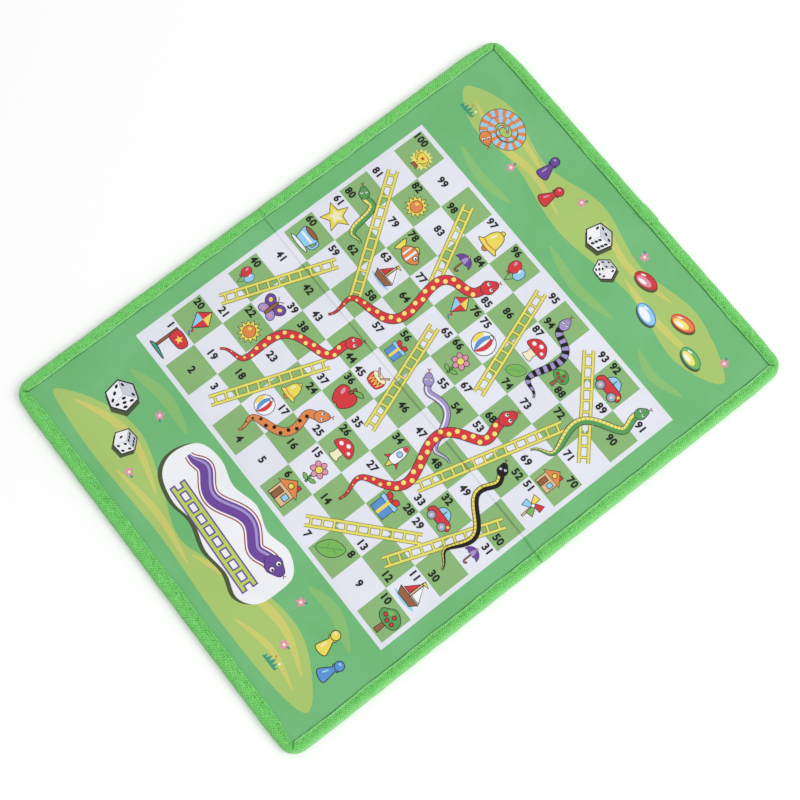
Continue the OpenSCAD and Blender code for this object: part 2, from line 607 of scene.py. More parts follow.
film = makeSheet("printed_film", board["faceTop"], board["faceUnder"], creaseLift)
dressed(film, marginPrint)
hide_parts("left_face_sheet", "right_face_sheet")
cloth = makeSheet("backing_cloth", board["backTop"], board["backUnder"], clothLift)
dressed(cloth, backCloth)
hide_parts("left_back_cloth", "right_back_cloth")
for node in ("left_stiffener", "right_stiffener"):
    dressed(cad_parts[node], greyboard)
print("sheets made")


# binding tape, folded round the rim and pulled down by the stitches
tape = {
    "width": 5.3,
    "corner": 7.5,
    "cloth": 0.5,
    "stitchInset": 4.0,
    "rimSteps": 12,
    "lipSteps": [1.3, 1.15, 0.9, 0.6, 0.4, 0.2, 0, -0.2, -0.4, -0.6, -1.0, -1.5],
    "mitreSteps": [0.12, 0.4, 0.6, 0.8, 1.0, 1.25, 1.5, 1.8, 2.2, 2.8],
    "stitchShares": [0, 0.05, 0.1, 0.2, 0.35, 0.5, 0.65, 0.8, 0.9, 0.95],
    "drawn": (-18, -5),  # from the end of a run: where its corner starts to be drawn in, and where most
    # how high or deep, and how wide
    "groove": (0.2, 0.42),
    "hole": (0.26, 0.3),
    "puff": (0.16, 0.75),
    "edgePuff": (0.08, 0.3),
    "mitreDip": (0.45, 0.4),
    "pleat": (0.36, 0.4),
    "foldPinch": (0.26, 0.6),
    # painted shade: how dark, and how wide
    "holeShade": (1.2, 0.22),
    "rowShade": (0.5, 0.24),
    "mitreShade": (0.8, 0.25),
    "pitShade": (0.9, 0.6),
    "sewn": (1, 1.0),
    # places across the tape, from the row of stitches
    "puffAt": -1.25,
    "edgePuffAt": 0.8,
    "sewnAt": 0.2,
    "rubbedLip": (0.2, 0.6),
    # places across the tape, from the rim
    "rubbedRim": (-2, -0.4),
    "mitreTop": (0.3, 2.6),
    "mitreDark": (1.5, 3.5),
    "pleatAt": 0.9,  # from the mitre
    "swell": 0.2,
    "rimShare": 0.12,
    "leastPinch": 0.4,
    # two waves along a run, each with its size and rate
    "wave": (0.05, 0.37, 0.035, 0.83),
    "sway": (0.12, 0.21, 0.072, 0.57),
    "pull": (1, 0.09, 0.5, 0.31),
    "pulled": (-0.2, 1.2),
    "waveShift": 1.7,
    "uvShift": 300,  # each run has its own stretch of cloth
    "smooth": 50,
}
rim = board["thick"] / 2


def bulge(x, shape):
    return shape[0] * mound(x, shape[1])


def twoWaves(shape, along, phase, laterPhase=0):
    size, rate, laterSize, laterRate = shape
    return size * math.sin(rate * along + phase) + laterSize * math.sin(laterRate * along + laterPhase)


def cornerPlan(share, inset):  # about the middle of the corner's arc: share 0 is the straight, 1 the mitre
    angle = math.radians(45 * share)
    outer = Vector((math.sin(angle), -math.cos(angle))) * tape["corner"]
    inner = Vector(((tape["corner"] - tape["width"]) * share, tape["width"] - tape["corner"]))
    return outer + (inner - outer) * inset / tape["width"], (outer - inner).normalized()


cornerRun = (cornerPlan(1, tape["stitchInset"])[0] - cornerPlan(0, tape["stitchInset"])[0]).length

# a run of tape is drawn along the near edge and then turned to its own edge
# the strengths for the lip and the rim are painted highlight, strongest on the near and far runs; creaseShade
# is painted shade in the fold's crease
runs = {
    "near": {"turn": 0, "stitches": 48, "phase": 0.4, "drawn": (0.28, 0.45), "spread": -0.25,
             "rubbedLip": 0.26, "rubbedRim": 0.34, "creaseAt": -1.8, "creaseShade": (0.65, 0.4)},
    "right": {"turn": 90, "stitches": 35, "phase": 2.1, "drawn": (0.45, 1.1), "spread": -0.1,
              "rubbedLip": 0, "rubbedRim": 0},
    "far": {"turn": 180, "stitches": 48, "phase": 3.3, "drawn": (1.1, 0.48), "spread": 0.2,
            "rubbedLip": 0.3, "rubbedRim": 0.1, "creaseAt": 0.8, "creaseShade": (0.3, 0.8)},
    "left": {"turn": 270, "stitches": 35, "phase": 5.2, "drawn": (0.48, 0.28), "spread": 0.9,
             "rubbedLip": 0.04, "rubbedRim": 0},
}
for side, run in runs.items():
    run["folds"] = "creaseAt" in run
    run["name"] = side if run["folds"] else side + "_end"
    run["along"] = board["halfLen"] if run["folds"] else board["halfWid"]
    run["edge"] = board["halfWid"] if run["folds"] else board["halfLen"]
    run["straight"] = run["along"] - tape["corner"]
    run["half"] = run["straight"] + cornerRun
    run["pitch"] = 2 * run["half"] / run["stitches"]

# the second end of the tape laps over the first on the right end
lap = {"cut": -12.7, "start": -2.5, "rise": 0.5, "slope": 4, "low": 0.55, "step": 0.4}


def lapRise(run, along):
    if run is not runs["right"] or not lap["cut"] <= along <= lap["start"]:
        return 0
    return lap["rise"] * between(lap["start"] - along, 0, lap["slope"])


def toHole(run, along):  # distance along the row to the nearest needle hole
    place = (along + run["half"]) / run["pitch"]
    return (place - round(place)) * run["pitch"]


def tapeRows():  # from the inner edge underneath, round the rim, to the inner edge on top
    lip = [tape["stitchInset"] + step for step in tape["lipSteps"]]
    rows = [(inset, 0, 0, -1) for inset in lip]
    for k in range(tape["rimSteps"] + 1):
        angle = math.pi * (k / tape["rimSteps"] - 0.5)
        outward, upward = math.cos(angle), math.sin(angle)
        rows.append((rim - rim * outward, rim + rim * upward, outward, upward))
    return rows + [(inset, board["thick"], 0, 1) for inset in reversed(lip)]


def tapeLift(run, along, inset, onFace):  # how far the cloth stands proud of its plain folded shape
    gap = toHole(run, along)
    lift = twoWaves(tape["wave"], along, run["phase"], tape["waveShift"] * run["phase"] + inset)
    if onFace:
        row = inset - tape["stitchInset"]
        swell = 1 - tape["swell"] * (1 + math.cos(2 * math.pi * gap / run["pitch"]))
        lift -= bulge(row, tape["groove"]) + bulge(math.hypot(gap, row), tape["hole"])
        lift += bulge(row - tape["puffAt"], tape["puff"]) * swell
        lift += bulge(row - tape["edgePuffAt"], tape["edgePuff"])
    fromMitre = run["half"] - abs(along)
    onTop = between(inset, *tape["mitreTop"]) if onFace else tape["rimShare"]
    lift -= bulge(fromMitre, tape["mitreDip"]) * onTop
    if run["folds"]:
        return lift - bulge(along - run["creaseAt"], tape["foldPinch"]) * max(tape["leastPinch"], onTop)
    return lift + bulge(fromMitre - tape["pleatAt"], tape["pleat"]) * onTop


def tapeShades(run, along, inset, onFace):  # painted shade in holes, along the row, at the mitre, in the corner's pit and in the crease, where the row is sewn, and painted highlight on the lip and rim
    row = inset - tape["stitchInset"]
    fromMitre = run["half"] - abs(along)
    pinchShade = bulge(along - run["creaseAt"], run["creaseShade"]) if run["folds"] else 0
    wearAndHighlight = run["rubbedRim"] * between(-inset, *tape["rubbedRim"])
    if not onFace:
        return {"pinchShade": pinchShade, "sewn": 0, "wearAndHighlight": wearAndHighlight}
    pull = between(twoWaves(tape["pull"], along, run["phase"]), *tape["pulled"])
    pinchShade += bulge(math.hypot(toHole(run, along), row), tape["holeShade"])
    pinchShade += pull * bulge(row, tape["rowShade"])
    pinchShade += bulge(fromMitre, tape["mitreShade"]) * between(inset, *tape["mitreDark"])
    pinchShade += bulge(math.hypot(fromMitre, inset - tape["width"]), tape["pitShade"])
    wearAndHighlight += run["rubbedLip"] * between(row, *tape["rubbedLip"])
    return {"pinchShade": pinchShade, "sewn": bulge(row - tape["sewnAt"], tape["sewn"]), "wearAndHighlight": wearAndHighlight}


def tapePoint(run, along, inset, height, outward=0, upward=0, lift=0):
    share = max(0, abs(along) - run["straight"]) / cornerRun
    nearCorner = between(abs(along) - run["along"], *tape["drawn"])
    sway = twoWaves(tape["sway"], along, run["phase"]) + run["spread"] * (1 - nearCorner)
    swayed = inset + sway * max(0, inset - rim) / (tape["width"] - rim)
    plan, out = cornerPlan(share, swayed)
    drawn = run["drawn"][along > 0] * nearCorner  # the tape pulls the corner in
    plan = plan + out * (outward * lift - drawn * (1 - swayed / tape["width"]))
    x = math.copysign(min(abs(along), run["straight"]) + plan.x, along)
    y = plan.y - run["edge"] + tape["corner"]
    turn = Matrix.Rotation(math.radians(run["turn"]), 3, "Z")
    return turn @ Vector((x, y, max(0, height + upward * lift))) * mm


def wrapTape(name, run, columns, rows, extraOf):
    obj = gridSheet(name, columns, range(len(rows)))
    across = [0]
    for before, after in zip(rows, rows[1:]):
        across.append(across[-1] + math.hypot(after[0] - before[0], after[1] - before[1]))
    kinds = ("pinchShade", "sewn", "wearAndHighlight")
    for kind in kinds:
        obj.data.attributes.new(kind, "FLOAT", "POINT")
    masks = {kind: obj.data.attributes[kind].data for kind in kinds}
    uvs = []
    for i, vert in enumerate(obj.data.vertices):
        along = columns[i % len(columns)]
        k = i // len(columns)
        inset, height, outward, upward = rows[k]
        onFace = outward < 0.01  # not on the round of the rim
        lift = tapeLift(run, along, inset, onFace) + extraOf(run, along)
        vert.co = tapePoint(run, along, inset, height, outward, upward, lift)
        for kind, value in tapeShades(run, along, inset, onFace).items():
            masks[kind][i].value = value
        uvs.append((along + tape["uvShift"] * run["phase"], across[k]))
    setUv(obj, lambda i: uvs[i])
    solidify(obj, tape["cloth"])
    smoothed(obj, tape["smooth"])
    return dressed(obj, tapeCloth)


def settle(obj, side, node):  # the long runs cross the fold, and the ends ride on their own half
    if runs[side]["folds"]:
        acrossFold(obj)
        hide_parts("left_" + node, "right_" + node)
    else:
        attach(obj, side + "_half")
        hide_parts(node)


def makeTapeRun(side):
    run = runs[side]
    shares = [i + share for i in range(run["stitches"]) for share in tape["stitchShares"]]
    columns = [share * run["pitch"] - run["half"] for share in shares] + [run["half"]]
    for step in tape["mitreSteps"]:
        columns += [step - run["half"], run["half"] - step]
    if run["folds"]:
        columns = [place for place in columns if abs(place) > foldEdge + fold["apart"]] + foldLines
    node = run["name"] + "_tape"
    settle(wrapTape(node + "_cloth", run, sorted(columns), tapeRows(), lambda run, along: 0), side, node)


def makeLap():
    rows = [row for row in tapeRows() if row[1] > lap["low"]]
    columns = spaced(lap["cut"], lap["start"], lap["step"])
    settle(wrapTape("tape_lap_cloth", runs["right"], columns, rows, lapRise), "right", "right_tape_lap")


for side in runs:
    makeTapeRun(side)
makeLap()
print("tape made")


# one row of stitches on each face, each stitch an arched length of thread from hole to hole
thread = {
    "radius": 0.2,
    "sides": 6,
    "cuts": 5,
    "arch": 0.3,
    "tight": 0.12,
    "tightRate": 2.4,
    "underSink": 0.22,
    "gap": 0.25,
    "apart": 2,  # stitch lengths from one to the next, before the row is laid on the tape
    "smooth": 60,
}


def makeStitch():
    clearSelection()
    bpy.ops.mesh.primitive_cylinder_add(vertices=thread["sides"], radius=1, depth=1, end_fill_type="NGON")
    stitch = named("stitch")
    bpy.ops.object.mode_set(mode="EDIT")
    bpy.ops.mesh.select_all(action="DESELECT")
    bpy.ops.object.mode_set(mode="OBJECT")
    verts = stitch.data.vertices
    for edge in stitch.data.edges:
        low, high = [verts[i].co.z for i in edge.vertices]
        edge.select = abs(low - high) > 0.5  # the edges that run along the thread
    bpy.ops.object.mode_set(mode="EDIT")
    bpy.ops.mesh.subdivide(number_cuts=thread["cuts"])
    bpy.ops.object.mode_set(mode="OBJECT")
    return stitch


def stitchRise(run, number, share, along, face):  # from the tape's plain face to the middle of the thread
    rise = -thread["arch"] * (2 * share) ** 4
    if face > 0:
        swing = math.sin(thread["tightRate"] * number * number + run["phase"])
        tight = 0.5 + 0.5 * swing  # some are pulled deeper
        rise += lapRise(run, along) - thread["tight"] * tight
    else:
        rise -= thread["underSink"]
    if run["folds"]:
        rise -= bulge(along - run["creaseAt"], tape["foldPinch"])
    return rise


def makeThreadRow(side, face):  # face is 1 on top and -1 underneath
    run = runs[side]
    row = makeStitch()
    repeat = row.modifiers.new("row", "ARRAY")
    repeat.count = run["stitches"]
    repeat.use_relative_offset = False
    repeat.use_constant_offset = True
    repeat.constant_offset_displace = (0, 0, thread["apart"])
    bpy.ops.object.modifier_apply(modifier=repeat.name)
    for vert in row.data.vertices:
        number = round(vert.co.z / thread["apart"])
        share = vert.co.z - thread["apart"] * number
        along = (number + 0.5) * run["pitch"] - run["half"] + share * (run["pitch"] - thread["gap"])
        rise = stitchRise(run, number, share, along, face) + thread["radius"] * vert.co.y
        inset = tape["stitchInset"] + thread["radius"] * vert.co.x
        vert.co = tapePoint(run, along, inset, board["thick"] + rise if face > 0 else -rise)
    node = run["name"] + ("_top_thread" if face > 0 else "_bobbin_thread")
    row = joined(node + "_row", [row])
    inEditMode(row, lambda: bpy.ops.mesh.normals_make_consistent(inside=False))
    smoothed(row, thread["smooth"])
    settle(dressed(row, threadGreen), side, node)


for side in runs:
    for face in (1, -1):
        makeThreadRow(side, face)
print("stitches made")

# the print: every colour is a thin closed layer of ink on the film
ink = {"step": 0.005, "sink": 0.02, "line": 0.26, "layer": 0.7, "sharpest": 0.5, "cut": 1e-7}

# where each kind of drawing starts, in steps above the film
levels = {"border": 1, "white": 2, "green": 3, "picture": 4, "ladder": 23, "snake": 27, "number": 36,
          "meadow": 1, "drawing": 9}

colours = {
    "line": (40, 36, 40), "border": (230, 233, 242), "squareGreen": (140, 185, 120),
    "squareWhite": (232, 234, 245), "yellow": (240, 222, 92), "cream": (246, 238, 200),
    "white": (244, 245, 249), "red": (214, 58, 64), "darkRed": (160, 62, 58), "orange": (228, 138, 78),
    "brown": (152, 98, 64), "tan": (226, 190, 140), "pink": (228, 150, 176), "purple": (110, 72, 158),
    "lilac": (166, 150, 208), "blue": (92, 148, 214), "sky": (150, 210, 244), "teal": (64, 156, 128),
    "green": (88, 160, 88), "leaf": (122, 186, 92), "grey": (158, 166, 186), "silver": (206, 210, 220),
    "black": (16, 14, 18), "dot": (246, 232, 122), "ladder": (234, 226, 106), "ladderEdge": (138, 130, 58),
    "hill": (172, 202, 112), "hillLight": (206, 207, 112), "meadow": (138, 194, 118), "shade": (74, 88, 56),
    "lime": (190, 214, 96),
}


def signedArea(outline):  # twice the area, below zero for a clockwise outline
    return sum(a[0] * b[1] - b[0] * a[1] for a, b in zip(outline, outline[1:] + outline[:1]))


def inkPlace(x, y, level):
    return Vector((x, y, board["faceTop"] + level * ink["step"])) * mm


def paint(obj, names):  # one colour, or one for each face
    layer = obj.data.color_attributes.new(name="inkColour", type="FLOAT_COLOR", domain="CORNER")
    values = []
    for face in obj.data.polygons:
        values += list(srgb(*colours[names[face.index % len(names)]])) * len(face.vertices)
    layer.data.foreach_set("color", values)


def inkShape(outline, colour, level):  # outline in board mm
    if signedArea(outline) < 0:
        outline = outline[::-1]
    bpy.ops.mesh.primitive_circle_add(vertices=len(outline), radius=1, fill_type="NGON")
    obj = bpy.context.object
    for place, index in zip(outline, obj.data.polygons[0].vertices):
        obj.data.vertices[index].co = inkPlace(place[0], place[1], level)
    paint(obj, [colour])
    return obj


def heading(path, k):
    return (Vector(path[min(k + 1, len(path) - 1)]) - Vector(path[max(k - 1, 0)])).normalized()


def inkStrip(path, widths, names, level, shift=0.0):  # a ribbon along a path in board mm
    bpy.ops.mesh.primitive_grid_add(x_subdivisions=len(path) - 1, y_subdivisions=1, size=1)
    obj = bpy.context.object
    for i, vert in enumerate(obj.data.vertices):
        k = i % len(path)
        side = 1 if i >= len(path) else -1
        place = Vector(path[k]) + leftOf(heading(path, k)) * (side / 2 + shift) * widths[k]
        vert.co = inkPlace(place.x, place.y, level)
    paint(obj, names)
    return obj


def cutAtFold():
    for x in foldLines:
        bpy.ops.mesh.select_all(action="SELECT")
        bpy.ops.mesh.bisect(plane_co=(x * mm, 0, 0), plane_no=(1, 0, 0), threshold=ink["cut"])


def finishInk(name, parts, level):  # joins the shapes, gives them thickness and lays them on their half
    obj = joined(name, parts)
    places = [vert.co.x / mm for vert in obj.data.vertices]
    folds = min(places) < board["bend"] and max(places) > -board["bend"]
    if folds:
        inEditMode(obj, cutAtFold)
    solidify(obj, level * ink["step"] + ink["sink"])
    if folds:
        for vert in obj.data.vertices:
            vert.co.z += creaseLift(vert.co.x / mm) * mm
        smoothed(obj, sheets["smooth"])
    flatUv(obj)
    dressed(obj, inkPrint)
    if folds:
        acrossFold(obj)
    else:
        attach(obj, "left_half" if max(places) < 0 else "right_half")


# drawing helpers; pictures are drawn upright, in mm, with right and up as seen from the left end

def turned(outline, turn, x, y):  # turned about its own middle, which is then put at x, y
    c, s = math.cos(math.radians(turn)), math.sin(math.radians(turn))
    return [(x + a * c - b * s, y + a * s + b * c) for a, b in outline]


def moved(outline, by):
    return [(x + by[0], y + by[1]) for x, y in outline]


def flipped(outline):
    return [(-x, y) for x, y in outline]


def onPlane(outline, middle, right, up):  # an outline in shares of right and up
    return [tuple(middle + right * a + up * b) for a, b in outline]


def oval(x, y, rx, ry, turn=0, count=22):
    angles = [2 * math.pi * i / count for i in range(count)]
    return turned([(rx * math.cos(angle), ry * math.sin(angle)) for angle in angles], turn, x, y)


def disc(x, y, radius, count=22):
    return oval(x, y, radius, radius, 0, count)


def petals(x, y, reach, rx, ry, turns, count):  # ovals that point away from the middle
    found = []
    for turn in turns:
        angle = math.radians(turn)
        found.append(oval(x + reach * math.cos(angle), y + reach * math.sin(angle), rx, ry, turn, count))
    return found


def star(x, y, outer, inner, tips):
    ring = []
    for i in range(2 * tips):
        angle = math.radians(90 + 180 * i / tips)
        reach = inner if i % 2 else outer
        ring.append((x + reach * math.cos(angle), y + reach * math.sin(angle)))
    return ring


def box(x0, y0, x1, y1):
    return [(x0, y0), (x1, y0), (x1, y1), (x0, y1)]


def bar(x0, y0, x1, y1, width):
    along = Vector((x1 - x0, y1 - y0)).normalized() * width / 2
    return [(x0 + along.y, y0 - along.x), (x1 + along.y, y1 - along.x),
            (x1 - along.y, y1 + along.x), (x0 - along.y, y0 + along.x)]


def curveThrough(points, steps, closed=False):  # a smooth line through these places
    count = len(points)
    found = []
    for i in range(count if closed else count - 1):
        around = [i - 1, i, i + 1, i + 2]
        if not closed:
            around = [min(max(k, 0), count - 1) for k in around]
        a, b, c, d = [Vector(points[k % count]) for k in around]
        bend = 2 * a - 5 * b + 4 * c - d
        twist = 3 * b - a - 3 * c + d
        for step in range(steps):
            t = step / steps
            found.append(tuple((2 * b + (c - a) * t + bend * t ** 2 + twist * t ** 3) / 2))
    if not closed:
        found.append(tuple(points[-1]))
    return found


def rounded(*points):
    return curveThrough(points, 5, closed=True)


def mirrored(*half):  # rounded and alike on both sides, from the points of its right half
    return rounded(*half, *[(-x, y) for x, y in reversed(half) if x > 0])


def bothSides(path, reachOf):  # an outline round a path; reachOf gives half its width, from 0 to 1 along it
    left, right = [], []
    for k, place in enumerate(path):
        side = leftOf(heading(path, k)) * reachOf(k / (len(path) - 1))
        left.append(tuple(Vector(place) + side))
        right.append(tuple(Vector(place) - side))
    return right + left[::-1]


def stroke(points, width):  # a curved line
    return bothSides(curveThrough(points, 6), lambda share: width / 2)


brush = {"steps": 8, "blunt": 0.02, "fullness": 0.7}


def tapered(points, width):  # a brush stroke, thin at both ends
    def reach(share):
        inside = min(max(share, brush["blunt"]), 1 - brush["blunt"])
        return width / 2 * math.sin(math.pi * inside) ** brush["fullness"]
    return bothSides(curveThrough(points, brush["steps"]), reach)


def grown(outline, by):
    reach = math.copysign(by, signedArea(outline))
    found = []
    for i, place in enumerate(outline):
        before = (Vector(place) - Vector(outline[i - 1])).normalized()
        after = (Vector(outline[(i + 1) % len(outline)]) - Vector(place)).normalized()
        middle = (before + after).normalized()
        found.append(tuple(Vector(place) - leftOf(middle) * reach / max(ink["sharpest"], middle.dot(after))))
    return found


def edged(colour, outline):  # a shape with a drawn outline
    return [("line", grown(outline, ink["line"])), (colour, outline)]


# pictures for the squares, each a list of coloured outlines from the back to the front

def flagPicture():
    return [
        *edged("brown", bar(-2.6, -4.6, -2.6, 4.6, 0.7)),
        *edged("red", rounded((-2.2, 4.4), (0.6, 4.9), (3.8, 3.9), (3.4, 1.4), (0.8, 0.8), (-2.2, 1.2))),
        ("yellow", star(0.7, 2.8, 1.5, 0.65, 5)),
        *edged("teal", rounded((-4.4, -4.8), (-2.6, -3.9), (0.2, -4.3), (2.2, -4.9))),
    ]


def sunPicture():
    return [
        *edged("yellow", star(0, 0, 5, 3.3, 12)),
        *edged("orange", disc(0, 0, 2.7)),
        ("yellow", oval(-0.8, 0.9, 0.9, 0.6, 40)),
    ]


def applePicture():
    body = mirrored((0, 2.2), (1.7, 2.9), (3.5, 1.9), (3.7, -0.6), (2.2, -3.3), (0.8, -3.8), (0, -3.4))
    return [
        *edged("red", body),
        *edged("brown", bar(0, 1.9, 0.4, 4.3, 0.7)),
        *edged("leaf", rounded((0.5, 3.2), (2.2, 4.6), (3.9, 4.4), (2.4, 3.2))),
        ("pink", oval(-1.9, 0.8, 0.6, 1.2, 20)),
    ]


def kitePicture():
    return [
        ("line", stroke([(0, -2.6), (1.2, -3.6), (0.2, -4.4), (1.6, -5.2)], 0.3)),
        ("red", star(0.9, -3.5, 0.8, 0.35, 4)),
        ("blue", star(0.6, -4.5, 0.8, 0.35, 4)),
        *edged("red", [(0, 5), (3, 1.5), (0, -2.8), (-3, 1.5)]),
        ("yellow", [(0, 5), (3, 1.5), (0, 1.5)]),
        ("sky", [(0, 1.5), (-3, 1.5), (0, -2.8)]),
    ]


def balloonPicture():
    return [
        ("line", bar(-1.6, -1, -0.2, -5, 0.25)),
        ("line", bar(1.7, -1.6, -0.2, -5, 0.25)),
        *edged("sky", oval(1.7, 0.8, 2, 2.5)),
        *edged("red", oval(-1.6, 1.6, 2.2, 2.8)),
        *edged("red", [(-1.6, -1.1), (-1, -1.9), (-2.2, -1.9)]),
        ("pink", oval(-2.4, 2.6, 0.5, 1, 15)),
        ("white", oval(1, 1.7, 0.4, 0.8, 15)),
    ]


def boatPicture():
    return [
        ("sky", rounded((-5, -4), (-2, -3.3), (1, -4), (3.4, -3.4), (5, -4.1), (0, -5))),
        *edged("brown", [(-4.3, -1.6), (4.3, -1.6), (2.8, -3.9), (-3, -3.9)]),
        *edged("tan", bar(0, -1.4, 0, 4.6, 0.5)),
        *edged("white", [(0.6, 4), (0.6, -0.9), (4, -0.9)]),
        *edged("red", [(-0.6, 3.4), (-0.6, -0.9), (-3.2, -0.9)]),
        *edged("yellow", [(0, 5.4), (1.9, 4.9), (0, 4.4)]),
    ]


def umbrellaPicture():
    dome = oval(0, 0.4, 4.5, 4.2, 0, 30)[:16]
    scallops = [(-4.5 + 9 * i / 12, 0.4 + 0.6 * abs(math.sin(math.pi * i / 4))) for i in range(1, 12)]
    return [
        *edged("brown", stroke([(0, 0.8), (0, -3.6), (0.5, -4.6), (1.5, -4.4), (1.7, -3.6)], 0.55)),
        *edged("purple", dome + scallops),
        ("lilac", [(-1.4, 0.7), (1.4, 0.7), (1, 3), (0, 4.5), (-1, 3)]),
        *edged("yellow", disc(0, 4.9, 0.4)),
    ]


def flowerPicture():
    found = [
        *edged("green", stroke([(0.2, 0), (-0.2, -2.4), (0.3, -5)], 0.55)),
        *edged("leaf", rounded((0.2, -3.6), (1.6, -2.4), (3, -2.6), (1.8, -3.8))),
        *edged("leaf", rounded((0, -4.2), (-1.4, -3.2), (-2.8, -3.6), (-1.4, -4.6))),
    ]
    for petal in petals(0, 1.6, 2.1, 1.35, 1, range(30, 360, 60), 14):
        found += edged("pink", petal)
    return found + edged("yellow", disc(0, 1.6, 1.3))


def mushroomPicture():
    spots = [(-2.2, 1.6, 0.9), (0.5, 2.9, 0.9), (2.7, 1.1, 0.7)]
    return [
        *edged("cream", mirrored((1.3, 0.2), (1.5, -2.8), (2, -4.2), (0, -4.6))),
        *edged("red", mirrored((1.6, 4.3), (3.8, 2.4), (4.4, 0), (2, -0.5))),
        *[("white", oval(x, y, radius, 0.85 * radius)) for x, y, radius in spots],
    ]


def ballPicture():
    lens = rounded((0, 3.9), (1.7, 2), (2.1, 0), (1.7, -2), (0, -3.9), (0.5, 0))
    return [
        *edged("white", disc(0, 0, 3.9)),
        ("red", lens),
        ("blue", flipped(lens)),
        ("yellow", rounded((-3.8, 0.9), (-2.7, 2.4), (-2.2, 0.1), (-2.6, -2.4), (-3.8, -0.9))),
        *edged("white", oval(0, 3.2, 0.7, 0.4)),
    ]


def treePicture():
    crown = rounded((-3.6, 0), (-4.2, 1.8), (-2.6, 3.4), (-0.6, 4.8), (1.8, 4.4), (3.8, 2.8), (4, 0.6),
                    (2.2, -0.9), (-1.6, -1))
    found = [
        *edged("brown", [(-0.8, -4.6), (0.9, -4.6), (0.6, -0.4), (-0.5, -0.4)]),
        *edged("green", crown),
        ("leaf", oval(-1, 3, 1.4, 0.9, 20)),
    ]
    for x, y in ((-2, 1.4), (0.8, 2.8), (2, 0.6), (-0.2, 0.4)):
        found += edged("red", disc(x, y, 0.6, 12))
    return found


def housePicture():
    return [
        *edged("red", bar(2.1, 1.6, 2.1, 4, 1)),
        *edged("tan", box(-3.2, -4.4, 3.2, 1)),
        *edged("orange", [(-4.3, 0.6), (4.3, 0.6), (0, 4.6)]),
        *edged("brown", box(-2.2, -4.3, -0.3, -0.8)),
        *edged("sky", box(0.8, -2.6, 2.5, -0.8)),
        *edged("yellow", disc(0, 2.1, 0.8, 14)),
    ]


def fishPicture():
    body = rounded((-3, 0), (-1.2, 2.2), (1.4, 2.5), (3.6, 1), (4.4, -0.2), (3, -1.8), (0.8, -2.4),
                   (-1.4, -1.8))
    return [
        *edged("yellow", rounded((-2.6, 0.2), (-4.6, 2.4), (-4.8, 0.2), (-4.4, -2.2), (-2.7, -0.4))),
        *edged("yellow", rounded((-0.6, 2), (0.4, 3.6), (2.2, 2.2))),
        *edged("orange", body),
        ("white", bar(0.9, -2.2, 0.9, 2.3, 0.8)),
        ("white", bar(-1.1, -1.7, -1.1, 1.9, 0.6)),
        *edged("white", disc(2.6, 0.6, 0.7, 14)),
        ("black", disc(2.8, 0.6, 0.35, 12)),
    ]


def butterflyPicture():
    found = []
    for side in (-1, 1):
        found += [
            *edged("purple", oval(side * 2.3, 1.5, 2.5, 1.9, side * 38)),
            *edged("lilac", oval(side * 1.8, -1.9, 1.9, 1.5, -side * 40)),
            ("yellow", oval(side * 2.6, 1.8, 0.9, 0.7, side * 38, 14)),
            ("pink", oval(side * 1.9, -2, 0.7, 0.6, 0, 14)),
            ("line", stroke([(0, 2.6), (side * 0.5, 3.8), (side * 1.5, 4.6)], 0.25)),
        ]
    return found + edged("brown", oval(0, 0, 0.6, 3))


def giftPicture():
    loop = rounded((0.2, 2.4), (1.2, 4.4), (3, 4.3), (2.6, 2.7))
    return [
        *edged("blue", box(-3.4, -4.4, 3.4, 0.8)),
        *edged("sky", box(-4, 0.8, 4, 2.4)),
        ("yellow", box(-0.7, -4.4, 0.7, 2.4)),
        *edged("red", loop),
        *edged("red", flipped(loop)),
        *edged("red", disc(0, 2.7, 0.6, 14)),
    ]


def bellPicture():
    return [
        *edged("orange", disc(0, -3.4, 0.9, 14)),
        *edged("yellow", disc(0, 4.2, 0.7, 14)),
        *edged("yellow", mirrored((1.2, 3.6), (2.4, 1.6), (2.9, -1.4), (4, -2.6), (0, -3.1))),
        ("orange", stroke([(-2.8, -1.3), (0, -1.8), (2.8, -1.3)], 0.5)),
        ("cream", oval(-1.1, 1.4, 0.4, 1.4, -12)),
    ]


def cupPicture():
    return [
        *edged("sky", stroke([(2.4, 1.2), (4.4, 1), (4.3, -1.6), (2, -2.2)], 0.7)),
        *edged("sky", rounded((-3.4, 2), (3, 2), (2.7, -1.6), (1.6, -3.4), (-2, -3.4), (-3.1, -1.6))),
        *edged("brown", oval(-0.2, 1.9, 3, 0.8)),
        ("white", bar(-3, -0.4, 2.6, -0.4, 0.8)),
        *edged("white", oval(-0.2, -3.8, 4.2, 0.6)),
    ]


def carPicture():
    body = rounded((-4.8, -2), (-4.6, 0.2), (-2.6, 0.8), (2.8, 0.7), (4.6, 0), (4.8, -2), (0, -2.4))
    found = [
        *edged("sky", rounded((-2.4, 0.4), (-1.6, 2.9), (1.2, 3), (2.6, 0.4))),
        *edged("red", body),
        ("line", bar(-0.2, 0.6, -0.2, 2.7, 0.3)),
        ("yellow", disc(4.2, -0.6, 0.5, 12)),
    ]
    for x in (-2.7, 2.7):
        found += [*edged("grey", disc(x, -2.2, 1.4)), ("silver", disc(x, -2.2, 0.6, 12))]
    return found


def prizePicture():
    ear = stroke([(2.4, 3), (4.4, 2.8), (3.8, 0.2), (1.6, -0.4)], 0.7)
    return [
        ("dot", star(0, 1, 6.4, 4.6, 14)),
        *edged("yellow", ear),
        *edged("yellow", flipped(ear)),
        *edged("yellow", mirrored((2.9, 4), (2.5, 0.6), (0.8, -1.2), (0.6, -2.8))),
        *edged("brown", [(-2.3, -4.6), (2.3, -4.6), (1.7, -2.8), (-1.7, -2.8)]),
        ("red", star(0, 1.9, 1.5, 0.65, 5)),
    ]


